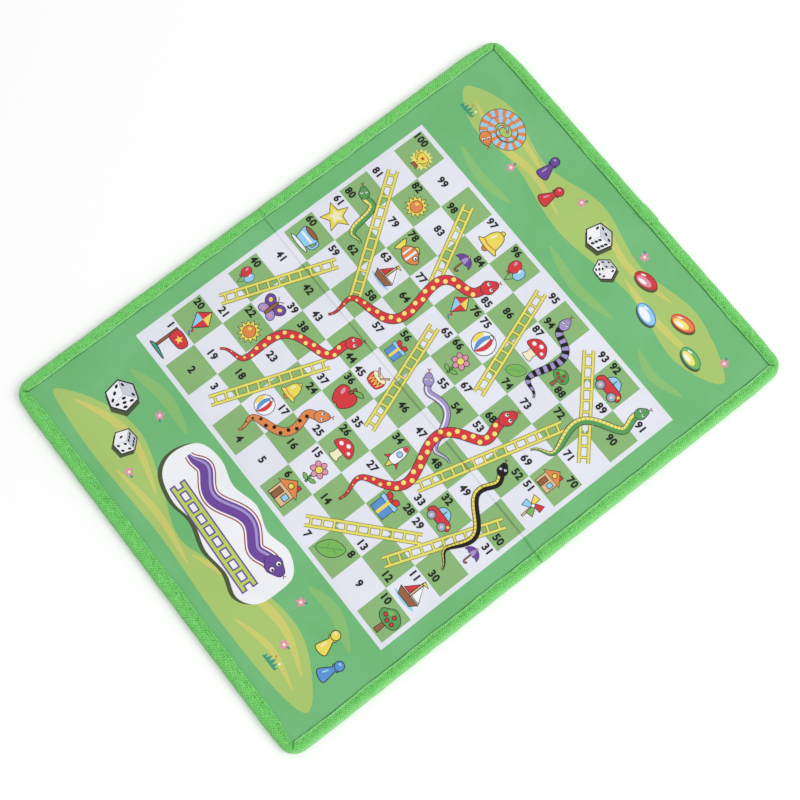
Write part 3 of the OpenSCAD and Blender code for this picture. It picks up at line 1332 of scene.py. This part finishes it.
def drumPicture():
    found = edged("red", mirrored((3.8, 1.6), (3.7, -2.4), (2, -3.6)))
    for i in range(4):
        x = 1.7 * i - 3.4
        found.append(("yellow", bar(x, 0.6, x + 0.9, -2.8, 0.35)))
        found.append(("yellow", bar(x + 0.9, -2.8, x + 1.7, 0.6, 0.35)))
    return found + [
        *edged("cream", oval(0, 1.6, 3.9, 1.5)),
        *edged("tan", bar(-3.6, 4.6, -0.4, 1.8, 0.5)),
        *edged("tan", bar(3.6, 4.8, 0.8, 1.6, 0.5)),
    ]


def pinwheelPicture():
    blade = [(0, 0), (3.8, 0.4), (3.2, 3.2), (0.6, 1.6)]
    found = edged("tan", bar(0, 0.6, 0.3, -5.2, 0.6))
    for i, colour in enumerate(("red", "yellow", "sky", "leaf")):
        found += edged(colour, turned(blade, 90 * i, 0, 1))
    return found + edged("white", disc(0, 1, 0.7, 14))


def rocketPicture():
    fin = [(1.4, -0.4), (3.2, -3), (1.2, -2.4)]
    return [
        *edged("yellow", mirrored((0.9, -2.6), (0.4, -4.4), (0, -5.2))),
        *edged("red", flipped(fin)),
        *edged("red", fin),
        *edged("white", mirrored((0, 5), (1.4, 2.8), (1.8, 0), (1.3, -2.6))),
        ("red", mirrored((0, 4.9), (1.1, 3.3), (0, 2.9))),
        *edged("sky", disc(0, 1, 0.9, 16)),
    ]


def starPicture():
    return [*edged("yellow", star(0, 0, 4.9, 2.2, 5)), ("cream", star(0, 0.2, 2.6, 1.2, 5))]


def leafPicture():
    return [
        *edged("leaf", rounded((-3.8, -3.6), (-3.6, 0.4), (-0.6, 3.8), (4.2, 4.4), (4, 0.2), (1, -3))),
        ("green", stroke([(-4.6, -4.4), (-1, -0.8), (3.4, 3.6)], 0.4)),
        ("green", bar(-0.8, -0.6, -1.8, 1.4, 0.3)),
        ("green", bar(0.9, 1.1, 2.9, 0.6, 0.3)),
    ]


# pictures for the margins

def pawnPicture(colour, light):
    return [
        *edged(colour, mirrored((0, 2.2), (1.3, 1.6), (0.7, 1), (1.5, -1.2), (2, -3.4), (0, -4))),
        *edged(colour, disc(0, 2.9, 1.4)),
        (light, oval(-0.4, 3.3, 0.5, 0.4, 30, 12)),
        (light, oval(-0.6, -1.4, 0.3, 1.2, -8, 12)),
    ]


def counterPicture(edge, colour, light):
    return [
        ("shade", oval(0.4, -0.7, 5.3, 3, 0, 30)),
        (edge, oval(0, 0, 5.2, 2.9, 0, 30)),
        (colour, oval(0, -0.1, 4.7, 2.4, 0, 30)),
        (light, oval(-0.4, -0.7, 3.4, 1.5, 0, 26)),
        ("white", oval(-0.9, -1.1, 1.9, 0.7, 0, 20)),
        ("white", oval(-2.2, 1.2, 1.1, 0.35, 18, 14)),
    ]


def flowerletPicture():
    return [
        ("teal", rounded((0.2, -0.4), (1.4, -1.4), (2.2, -1.2), (1.4, -0.6))),
        *[("pink", petal) for petal in petals(0, 0, 0.95, 0.75, 0.6, range(0, 360, 72), 10)],
        ("cream", disc(0, 0, 0.55, 10)),
    ]


def grassPicture():
    blades = [(-3.6, -1), (-2.8, 1), (-2.2, -0.3), (-1.3, 1.9), (-0.6, -0.2), (0.5, 2.4), (1, -0.2), (2, 1.5),
              (2.4, -0.3), (3.5, 0.8), (3.2, -1)]
    return [("teal", blades), ("orange", disc(-0.2, 2.7, 0.5, 10)), ("cream", disc(2.6, 1.9, 0.5, 10))]


# a die, seen on a corner: its edges in mm, and its faces and pips as shares of an edge
die = {"front": (0, 0.4), "east": (3.5, 1.7), "west": (-3.5, 1.7), "down": (0, -4.2), "line": 0.32,
       "shadow": 0.3, "shadowBy": (0.9, -0.7), "half": 0.49, "spread": 0.27, "pip": 0.12, "pipSides": 10}
dieCorners = [(-1, -1), (-1, 1), (1, -1), (1, 1)]
diePips = {
    1: [(0, 0)],
    2: [(-1, 1), (1, -1)],
    3: [(-1, 1), (0, 0), (1, -1)],
    4: dieCorners,
    5: dieCorners + [(0, 0)],
    6: [(across, up) for across in (-1, 1) for up in (-1, 0, 1)],
}


def dicePicture(right, left, top):  # pips on the three faces that show
    front, east, west, down = [Vector(die[edge]) for edge in ("front", "east", "west", "down")]
    hull = [tuple(front + step) for step in (east, east + west, west, west + down, down, east + down)]
    found = [("shade", moved(grown(hull, die["shadow"]), die["shadowBy"]))]
    found.append(("line", grown(hull, die["line"])))
    faces = [("silver", east, west, top), ("white", east, down, right), ("white", west, down, left)]
    half = die["half"]
    for colour, a, b, count in faces:
        middle = front + a / 2 + b / 2
        found.append((colour, onPlane(box(-half, -half, half, half), middle, a, b)))
        for s, t in diePips[count]:
            pip = disc(die["spread"] * s, die["spread"] * t, die["pip"], die["pipSides"])
            found.append(("black", onPlane(pip, middle, a, b)))
    return found


# places on the board
grid = {"low": -70.0, "far": 77.8, "cellX": 14.3, "cellY": 15.66, "count": 10, "border": 2.0, "trim": 0.002,
        "greenRows": {"left": (0, 4), "fold": (4, 5), "right": (5, 10)}}


def cellPlace(col, row):
    return grid["low"] + row * grid["cellX"], grid["far"] - col * grid["cellY"]


def squareOf(number):  # column and row of a numbered square; the rows run to and fro
    row, k = divmod(number - 1, grid["count"])
    return (k if row % 2 == 0 else grid["count"] - 1 - k), row


def squareMiddle(number):
    col, row = squareOf(number)
    return Vector(cellPlace(col + 0.5, row + 0.5))


def toBoard(outline):  # from right and up to the board's own x and y
    return [(up, -right) for right, up in outline]


def drawPicture(name, shapes, place, size=1.0, turn=0, level=levels["picture"]):
    parts = []
    for i, (colour, outline) in enumerate(shapes):
        outline = [(x * size, y * size) for x, y in toBoard(outline)]
        parts.append(inkShape(turned(outline, turn, *place), colour, level + i * ink["layer"]))
    finishInk(name, parts, level + len(shapes) * ink["layer"])


crowd = []  # what is drawn on the squares, as places with the room that each takes


def crowdBy(number):  # what is drawn on this square or just round it
    middle = squareMiddle(number)
    return [spot for spot in crowd if math.hypot(spot[0] - middle.x, spot[1] - middle.y) < grid["cellY"]]


def middleFirst(steps):  # spots in a square, as shares of its sides
    spots = [(across, up) for across in steps for up in steps]
    return sorted(spots, key=lambda spot: math.hypot(spot[0] - 0.5, spot[1] - 0.5))


def makePanel():
    low, far = cellPlace(0, 0)
    high, near = cellPlace(grid["count"], grid["count"])
    edge = grid["border"]
    trim = grid["trim"]
    border = inkShape(box(low - edge, near - edge, high + edge, far + edge), "border", levels["border"])
    finishInk("board_border", [border], levels["border"])
    white = inkShape(box(low, near, high, far), "squareWhite", levels["white"])
    finishInk("white_squares", [white], levels["white"])
    for name, (first, last) in grid["greenRows"].items():
        parts = []
        for row in range(first, last):
            for col in range(1 - row % 2, grid["count"], 2):
                x0, y1 = cellPlace(col + trim, row + trim)
                x1, y0 = cellPlace(col + 1 - trim, row + 1 - trim)
                parts.append(inkShape(box(x0, y0, x1, y1), "squareGreen", levels["green"]))
        finishInk("green_squares_" + name, parts, levels["green"])


makePanel()
print("squares printed")

# ladders, by the squares at their feet and tops
ladders = {
    "pairs": [(3, 37), (7, 29), (12, 50), (21, 59), (35, 65), (33, 72), (58, 81), (67, 95), (71, 93),
              (77, 98)],
    "gap": 3.7,
    "rail": 0.95,
    "rung": 0.7,
    "pitch": 4.6,
    "edge": 0.24,
    "over": 2.0,
    "railUp": 0.3,
    "faceUp": 1.5,
}


def makeLadder(foot, top):
    ends = [squareMiddle(foot), squareMiddle(top)]
    along = (ends[1] - ends[0]).normalized()
    across = leftOf(along) * ladders["gap"] / 2
    low = ends[0] - along * ladders["over"]
    high = ends[1] + along * ladders["over"]
    count = round((high - low).length / ladders["pitch"])
    for i in range(2 * count + 1):
        spot = low.lerp(high, i / (2 * count))
        crowd.append((*spot, ladders["gap"] / 2 + ladders["rail"]))
    lines = []
    for i in range(count):
        middle = low.lerp(high, (i + 0.5) / count)
        lines.append((middle - across, middle + across, ladders["rung"], 0))
    lines.append((low - across, high - across, ladders["rail"], ladders["railUp"]))
    lines.append((low + across, high + across, ladders["rail"], 2 * ladders["railUp"]))
    parts = []
    for a, b, width, up in lines:
        level = levels["ladder"] + up
        parts.append(inkShape(bar(*a, *b, width + 2 * ladders["edge"]), "ladderEdge", level))
        parts.append(inkShape(bar(*a, *b, width), "ladder", level + ladders["faceUp"]))
    finishInk("ladder_%02d_%02d" % (foot, top), parts, level + ladders["faceUp"])


for foot, top in ladders["pairs"]:
    makeLadder(foot, top)
print("ladders printed")

# snakes: squares of the tail and the head, waves, sway and width in mm, skin, marks and their kind,
# and how many steps a snake lies over the others
snakes = {
    "red_snake_85": (43, 85, 1.75, 6.5, 3.7, "red", "dot", "dots"),
    "red_snake_68": (14, 68, 2.0, 6.0, 3.8, "red", "dot", "dots", 7),
    "red_snake_44": (19, 44, 1.5, -5.0, 3.3, "red", "dot", "dots"),
    "banded_snake_94": (73, 94, 1.2, 5.0, 2.7, "lilac", "black", "bands"),
    "striped_snake_52": (30, 52, 1.8, 4.0, 2.5, "black", "yellow", "belly"),
    "lilac_snake_55": (48, 55, 1.25, 4.2, 2.5, "lilac", "white", "plain"),
    "green_snake_80": (62, 80, 1.0, 3.6, 2.7, "green", "dot", "belly"),
    "green_snake_91": (69, 91, 1.5, -4.6, 2.9, "green", "dot", "belly"),
    "orange_snake_25": (4, 25, 1.3, 4.2, 3.1, "orange", "black", "dots"),
}
snakeStyle = {
    "points": 240,
    "step": 0.8,
    "line": 0.5,
    "straight": 0.2,  # the share at each end that hardly sways
    "uneven": (0.03, 6),  # size and rate of the change from wave to wave
    "tail": 0.12,
    "neck": (-0.05, 0.4),
    # strips on the side, by their share of the width and their shift
    "belly": (0.4, 0.72),
    "plain": (0.24, 0.9),
    "scute": (0.1, 0.47),
    "scuteLine": 0.16,
    "dot": 0.26,
    "dotShift": 0.2,
    # steps above the outline of the body
    "skinUp": 1,
    "markUp": 2,
    "scuteUp": 2.6,
    "headUp": 3,
    "top": 6,
}
headStyle = {
    "least": 2.7,
    # as shares of the head's reach
    "half": [(0, 1.08), (0.3, 0.98), (0.56, 0.5), (0.78, -0.1), (0.5, -0.7), (0, -0.95)],
    "ahead": 0.35,
    "tip": 0.85,
    # in mm
    "line": 0.25,
    "tongue": 1.6,
    "tongueWide": 0.35,
    "fork": (0.7, 0.8),
    "forkWide": 0.3,
    "forkRoom": 1.0,
    # steps above the tongue
    "forkUp": 0.2,
    "lineUp": 0.6,
    "skinUp": 1.2,
    # on both sides: aside, ahead and radius as shares of the reach, colour and steps
    "marks": [
        (0.36, 0.12, 0.25, "line", 1.8),
        (0.36, 0.12, 0.2, "white", 2.4),
        (0.36, 0.19, 0.11, "black", 3),
        (0.13, 0.86, 0.05, "line", 3),
    ],
}


def evenly(path, step):  # the same line with its places a step apart
    found = [path[0]]
    left = step
    for a, b in zip(path, path[1:]):
        a, b = Vector(a), Vector(b)
        while (b - a).length >= left:
            a = a + (b - a).normalized() * left
            found.append(tuple(a))
            left = step
        left -= (b - a).length
    return found


def wavyPath(tail, head, waves, sway):
    along = head - tail
    side = leftOf(along).normalized()
    straight = snakeStyle["straight"]
    size, rate = snakeStyle["uneven"]
    path = []
    for i in range(snakeStyle["points"] + 1):
        t = i / snakeStyle["points"]
        swing = math.sin(2 * math.pi * waves * (t + size * math.sin(rate * t)))
        swing = swing * between(t, 0, straight) * between(1 - t, 0, straight)
        path.append(tuple(tail + along * t + side * sway * swing))
    return evenly(path, snakeStyle["step"])


def makeBody(path, width, skin, mark, kind, level):
    count = len(path)
    tail = snakeStyle["tail"]
    grows = [between(k / (count - 1), *snakeStyle["neck"]) for k in range(count)]
    widths = [width * (tail + (1 - tail) * grow) for grow in grows]
    parts = [inkStrip(path, [w + snakeStyle["line"] for w in widths], ["line"], level)]
    names = [mark if kind == "bands" and (k // 2) % 2 else skin for k in range(count - 1)]
    parts.append(inkStrip(path, widths, names, level + snakeStyle["skinUp"]))
    markLevel = level + snakeStyle["markUp"]
    if kind in ("belly", "plain"):
        share, shift = snakeStyle[kind]
        parts.append(inkStrip(path, [w * share for w in widths], [mark], markLevel, shift))
    for i, k in enumerate(range(2, count - 4, 2 if kind == "belly" else 4)):
        side = leftOf(heading(path, k)) * widths[k]
        if kind == "belly":
            a, b = [Vector(path[k]) + side * share for share in snakeStyle["scute"]]
            scute = bar(*a, *b, snakeStyle["scuteLine"])
            parts.append(inkShape(scute, "line", level + snakeStyle["scuteUp"]))
        if kind == "dots":
            spot = Vector(path[k]) + side * snakeStyle["dotShift"] * (1 if i % 2 else -1)
            parts.append(inkShape(disc(*spot, widths[k] * snakeStyle["dot"], 12), mark, markLevel))
    return parts


def makeHead(path, width, skin, level):
    ahead = heading(path, len(path) - 1)
    side = leftOf(ahead)
    turn = math.degrees(math.atan2(ahead.y, ahead.x))
    reach = max(headStyle["least"], width)
    middle = Vector(path[-1]) + ahead * reach * headStyle["ahead"]
    tip = middle + ahead * reach * headStyle["tip"]
    fork = tip + ahead * headStyle["tongue"]
    crowd.extend([(*middle, reach), (*fork, headStyle["forkRoom"])])
    parts = [inkShape(bar(*tip, *fork, headStyle["tongueWide"]), "darkRed", level)]
    for s in (-1, 1):
        end = fork + side * s * headStyle["fork"][0] + ahead * headStyle["fork"][1]
        tine = bar(*fork, *end, headStyle["forkWide"])
        parts.append(inkShape(tine, "darkRed", level + headStyle["forkUp"]))
    shape = onPlane(mirrored(*headStyle["half"]), middle, side * reach, ahead * reach)
    parts.append(inkShape(grown(shape, headStyle["line"]), "line", level + headStyle["lineUp"]))
    parts.append(inkShape(shape, skin, level + headStyle["skinUp"]))
    for s in (-1, 1):
        for aside, forward, size, colour, up in headStyle["marks"]:
            spot = middle + side * s * reach * aside + ahead * reach * forward
            parts.append(inkShape(oval(*spot, reach * size, reach * size, turn, 14), colour, level + up))
    return parts


def makeSnake(name, tailSquare, headSquare, waves, sway, width, skin, mark, kind, over=0):
    path = wavyPath(squareMiddle(tailSquare), squareMiddle(headSquare), waves, sway)
    crowd.extend((x, y, width / 2) for x, y in path[::2])
    level = levels["snake"] + over
    body = makeBody(path, width, skin, mark, kind, level)
    head = makeHead(path, width, skin, level + snakeStyle["headUp"])
    finishInk(name, body + head, level + snakeStyle["top"])


for name, snake in snakes.items():
    makeSnake(name, *snake)
print("snakes printed")

# a picture for some of the squares, where the snakes and ladders leave room
pictures = {
    1: flagPicture, 6: housePicture, 8: leafPicture, 10: treePicture, 11: boatPicture, 15: flowerPicture,
    17: ballPicture, 20: kitePicture, 22: sunPicture, 24: bellPicture, 26: mushroomPicture, 28: giftPicture,
    31: umbrellaPicture, 32: carPicture, 34: rocketPicture, 36: applePicture, 39: butterflyPicture,
    40: balloonPicture, 45: drumPicture, 51: pinwheelPicture, 56: giftPicture, 60: cupPicture,
    61: starPicture, 63: boatPicture, 66: flowerPicture, 70: housePicture, 74: leafPicture, 75: ballPicture,
    76: kitePicture, 78: fishPicture, 82: sunPicture, 84: umbrellaPicture, 87: mushroomPicture,
    88: treePicture, 92: carPicture, 96: balloonPicture, 97: bellPicture, 100: prizePicture,
}
pictureStyle = {
    "sizes": (1.25, 1.15, 1.05, 0.95, 0.85, 0.75),
    "clear": 0.25,
    "edge": 0.4,
    "steps": (0.5, 0.45, 0.55, 0.4, 0.6, 0.35, 0.65),
}
numberStyle = {
    "size": 4.35,
    "weight": 0.13,
    "spacing": 1.09,
    "fine": 4,
    "flat": 0.02,
    "room": 2.2,
    "half": 2.1,
    "digit": 1.5,
    "round": 1.9,
    "corners": [(0.2, 0.82), (0.8, 0.82), (0.2, 0.18), (0.8, 0.18)],
    "steps": (0.5, 0.43, 0.57, 0.36, 0.64, 0.29, 0.71, 0.22, 0.78),
}


def digitSpots(number, place):
    reach = numberStyle["digit"] * (len(str(number)) - 1)
    return [(place[0], place[1] + side * reach) for side in (-1, 0, 1)]


def findNumberPlace(number):  # the first spot in its square with enough room, or else the best
    col, row = squareOf(number)
    near = crowdBy(number)
    spots = numberStyle["corners"] if number in pictures else middleFirst(numberStyle["steps"])
    places = [cellPlace(col + across, row + up) for across, up in spots]
    places = [place for place in places if abs(place[0]) > board["bend"] + numberStyle["half"]]

    def room(place):
        digits = digitSpots(number, place)
        gaps = [math.hypot(x - a, y - b) - reach for x, y in digits for a, b, reach in near]
        return min(gaps, default=grid["cellX"])

    return next((place for place in places if room(place) > numberStyle["room"]), max(places, key=room))


numberPlaces = {number: findNumberPlace(number) for number in range(1, grid["count"] ** 2 + 1)}
for number, place in numberPlaces.items():
    crowd.extend((x, y, numberStyle["round"]) for x, y in digitSpots(number, place))


def alongOutline(outline):  # its corners, and two points on each side
    found = []
    for a, b in zip(outline, outline[1:] + outline[:1]):
        found += [(a[0] + (b[0] - a[0]) * share, a[1] + (b[1] - a[1]) * share) for share in (0, 0.33, 0.67)]
    return found


def fits(points, place, size, near, cell):
    for right, up in points:
        x, y = place[0] + up * size, place[1] - right * size
        if abs(x) < board["bend"] + pictureStyle["clear"]:
            return False
        if not (cell[0] < x < cell[1] and cell[2] < y < cell[3]):
            return False
        if any(math.hypot(x - a, y - b) < reach for a, b, reach in near):
            return False
    return True


def pictureSpot(number, shapes):  # the place for the largest size that fits in the square
    col, row = squareOf(number)
    low, far = cellPlace(col, row)
    high, near = cellPlace(col + 1, row + 1)
    edge = pictureStyle["edge"]
    cell = (low + edge, high - edge, near + edge, far - edge)
    close = [(x, y, reach + pictureStyle["clear"]) for x, y, reach in crowdBy(number)]
    points = [point for colour, outline in shapes for point in alongOutline(outline)]
    for size in pictureStyle["sizes"]:
        for across, up in middleFirst(pictureStyle["steps"]):
            place = cellPlace(col + across, row + up)
            if fits(points, place, size, close, cell):
                return place, size
    return None, 0


for number, draw in pictures.items():
    shapes = draw()
    place, size = pictureSpot(number, shapes)
    if place:
        drawPicture("picture_%03d" % number, shapes, place, size)
print(len(pictures), "pictures printed")


# a 4 has a tiny flat at the top of its hole, which would fold over when the outline is made bolder
def dropFlats(outline):
    bpy.ops.object.mode_set(mode="EDIT")
    bpy.ops.curve.select_all(action="DESELECT")
    for spline in outline.splines:
        points = list(spline.bezier_points)
        lengths = [(point.co - points[i - 1].co).length for i, point in enumerate(points)]
        short = [i for i, length in enumerate(lengths) if length < numberStyle["flat"] * mm]
        for point in points if short else []:
            point.handle_left_type = "VECTOR"
            point.handle_right_type = "VECTOR"
        for i in short:
            points[i].select_control_point = True
    bpy.ops.curve.delete(type="VERT")
    bpy.ops.object.mode_set(mode="OBJECT")


def makeNumber(number):
    x, y = numberPlaces[number]
    clearSelection()
    bpy.ops.object.text_add()
    text = bpy.context.object.data
    text.body = str(number)
    text.size = numberStyle["size"] * mm
    text.align_x = "CENTER"
    text.align_y = "CENTER"
    text.space_character = numberStyle["spacing"]
    text.resolution_u = numberStyle["fine"]
    bpy.ops.object.convert(target="CURVE")
    dropFlats(bpy.context.object.data)
    bpy.context.object.data.offset = numberStyle["weight"] * mm
    bpy.ops.object.convert(target="MESH")
    digits = bpy.context.object
    inEditMode(digits, bpy.ops.mesh.beautify_fill)
    for vert in digits.data.vertices:
        vert.co = inkPlace(x + vert.co.y / mm, y - vert.co.x / mm, levels["number"])
    paint(digits, ["black"])
    return digits


numbers = [makeNumber(number) for number in numberPlaces]
halfCount = len(numbers) // 2
finishInk("numbers_left", numbers[:halfCount], levels["number"])
finishInk("numbers_right", numbers[halfCount:], levels["number"])
print("numbers printed")

# the margins, drawn in mm to the right and up from the middle of the board
meadowLeft = [
    ("meadow", tapered([(-70, -82), (-52, -78), (-34, -80)], 5)),
    ("meadow", tapered([(44, -79), (58, -77), (74, -82)], 5)),
    ("hill", rounded((-82, -110), (-66, -99), (-46, -94), (-24, -100), (-4, -107), (12, -103), (34, -94),
                     (56, -92), (74, -100), (82, -109), (66, -113), (30, -114), (-8, -112.5), (-48, -114),
                     (-74, -113))),
    ("hillLight", tapered([(-74, -107), (-58, -100), (-42, -98.5), (-22, -104)], 3.4)),
    ("hillLight", tapered([(6, -107), (26, -99.5), (50, -96), (70, -102)], 3.6)),
    ("hillLight", tapered([(-40, -110.5), (-16, -108), (8, -110.5)], 2.8)),
    ("hillLight", tapered([(36, -109), (54, -105), (72, -108)], 2.6)),
]
meadowRight = [
    ("meadow", tapered([(-62, 82), (-46, 79.5), (-30, 82)], 4)),
    ("meadow", tapered([(-6, 83), (14, 80), (34, 83)], 4.4)),
    ("meadow", tapered([(50, 83), (62, 80), (76, 84)], 4)),
    ("hill", rounded((-82, 100), (-62, 109), (-34, 104), (-6, 111), (24, 106), (54, 111), (82, 101), (62, 91),
                     (30, 95), (-8, 89.5), (-42, 94), (-66, 91))),
    ("hillLight", tapered([(-74, 99), (-54, 95), (-34, 97.5), (-14, 94)], 3.2)),
    ("hillLight", tapered([(0, 107), (20, 102), (44, 106)], 3)),
    ("hillLight", tapered([(24, 97.5), (46, 96), (70, 98.5)], 3)),
    ("hillLight", tapered([(-64, 105), (-46, 103), (-30, 100.5)], 2.4)),
]
drawPicture("meadow_left", meadowLeft, (0, 0), level=levels["meadow"])
drawPicture("meadow_right", meadowRight, (0, 0), level=levels["meadow"])

# small drawings on the margins: place to the right and up, size and turn
trinkets = {
    "die_left_large": (dicePicture(5, 3, 2), (-63, -91), 1.6, 10),
    "die_left_small": (dicePicture(4, 1, 6), (-47, -101), 1.25, -20),
    "die_right_large": (dicePicture(6, 2, 3), (4, 101), 1.45, -14),
    "die_right_small": (dicePicture(2, 5, 4), (16, 94), 1.15, 24),
    "counter_red": (counterPicture("darkRed", "red", "pink"), (30, 104), 1.05, 12),
    "counter_blue": (counterPicture("blue", "sky", "white"), (41, 95), 1.05, -8),
    "counter_orange": (counterPicture("red", "orange", "dot"), (53, 104), 1.05, 16),
    "counter_green": (counterPicture("teal", "leaf", "dot"), (66, 97), 1.05, -4),
    "pawn_purple": (pawnPicture("purple", "lilac"), (-32, 104), 1.3, 8),
    "pawn_red": (pawnPicture("red", "pink"), (-22, 97), 1.3, -10),
    "pawn_yellow": (pawnPicture("yellow", "cream"), (66, -86), 1.3, 6),
    "pawn_blue": (pawnPicture("blue", "sky"), (75, -92), 1.3, -12),
    "grass_left": (grassPicture(), (58, -108), 1.1, 0),
    "grass_right": (grassPicture(), (-73, 94), 1.1, 0),
}
flowerlets = [(-47, -84), (-36, -107), (56, -100), (47, -85), (-12, 105), (-42, 92), (76, 106), (22, 110)]
for i, place in enumerate(flowerlets):
    trinkets["flowerlet_%d" % (i + 1)] = (flowerletPicture(), place, 1.15, 25 * i)
for name, (shapes, (right, up), size, turn) in trinkets.items():
    drawPicture(name, shapes, (up, -right), size, turn, levels["drawing"])

coil = {"middle": (-56, 100), "turns": 2.7, "inner": 1.0, "grow": 3.3, "width": 3.1, "flat": 0.82,
        "points": 160}


def makeCoil():
    path = []
    for k in range(coil["points"]):
        turns = coil["turns"] * k / (coil["points"] - 1)
        angle = 2 * math.pi * turns
        reach = coil["inner"] + coil["grow"] * turns
        path.append((reach * math.cos(angle), coil["flat"] * reach * math.sin(angle)))
    path = evenly(toBoard(moved(path, coil["middle"])), snakeStyle["step"])
    level = levels["drawing"]
    body = makeBody(path, coil["width"], "orange", "sky", "bands", level)
    head = makeHead(path, coil["width"], "orange", level + snakeStyle["headUp"])
    finishInk("coiled_snake", body + head, level + snakeStyle["top"])


makeCoil()

# a white plaque with a snake above a ladder; a layer has its colour, extra width and steps above the shadow
plaque = {
    "outline": [(-31, -84), (-31, -92), (-26, -98), (-15, -100.5), (-4, -99), (8, -102), (20, -101),
                (30, -103.5), (37, -99), (38.5, -90), (37, -81), (28, -76.5), (17, -78.5), (6, -75.5),
                (-6, -78), (-17, -75.5), (-27, -77.5)],
    "shadowBy": (-1.5, 1.1),
    "rails": [((-20, -97.4), (30, -99.6)), ((-19.6, -92.8), (30.4, -94.8))],
    "rungs": 9,
    "railWide": 1.4,
    "rungWide": 1.2,
    "railUp": 0.3,
    "ladderLayers": [("purple", 0.6, 2), ("lime", 0, 3.5)],
    "snake": [(-27, -84.5), (28, -84.5)],
    "waves": 2.0,
    "sway": 3.0,
    "width": 5.2,
    "taper": (-6, 12),
    "snakeLayers": [("darkRed", 2.2, 5), ("white", 1.2, 6), ("purple", 0, 7)],
    "shine": (0.2, 1.2),
    "headShare": 0.9,
    "whiteUp": 1,
    "shineUp": 8,
    "headUp": 9,
    "top": 12,
}


def makePlaque():
    level = levels["drawing"]
    outline = toBoard(rounded(*plaque["outline"]))
    parts = [inkShape(moved(outline, plaque["shadowBy"]), "shade", level)]
    parts.append(inkShape(outline, "white", level + plaque["whiteUp"]))
    bars = [bar(*low, *high, plaque["railWide"]) for low, high in plaque["rails"]]
    for i in range(plaque["rungs"]):
        share = (i + 0.5) / plaque["rungs"]
        a, b = [Vector(low).lerp(Vector(high), share) for low, high in plaque["rails"]]
        bars.append(bar(*a, *b, plaque["rungWide"]))
    for colour, grow, up in plaque["ladderLayers"]:
        for i, shape in enumerate(bars):
            above = plaque["railUp"] * max(0, 2 - i)  # the rails lie over the rungs
            parts.append(inkShape(toBoard(grown(shape, grow)), colour, level + up + above))
    tail, head = [Vector(place) for place in toBoard(plaque["snake"])]
    path = wavyPath(tail, head, plaque["waves"], plaque["sway"])
    widths = [plaque["width"] * between(k, *plaque["taper"]) for k in range(len(path))]
    for colour, extra, up in plaque["snakeLayers"]:
        parts.append(inkStrip(path, [width + extra for width in widths], [colour], level + up))
    share, shift = plaque["shine"]
    shine = [share * width for width in widths]
    parts.append(inkStrip(path, shine, ["lilac"], level + plaque["shineUp"], shift))
    parts += makeHead(path, plaque["width"] * plaque["headShare"], "purple", level + plaque["headUp"])
    finishInk("plaque", parts, level + plaque["top"])


makePlaque()
print("margins printed")
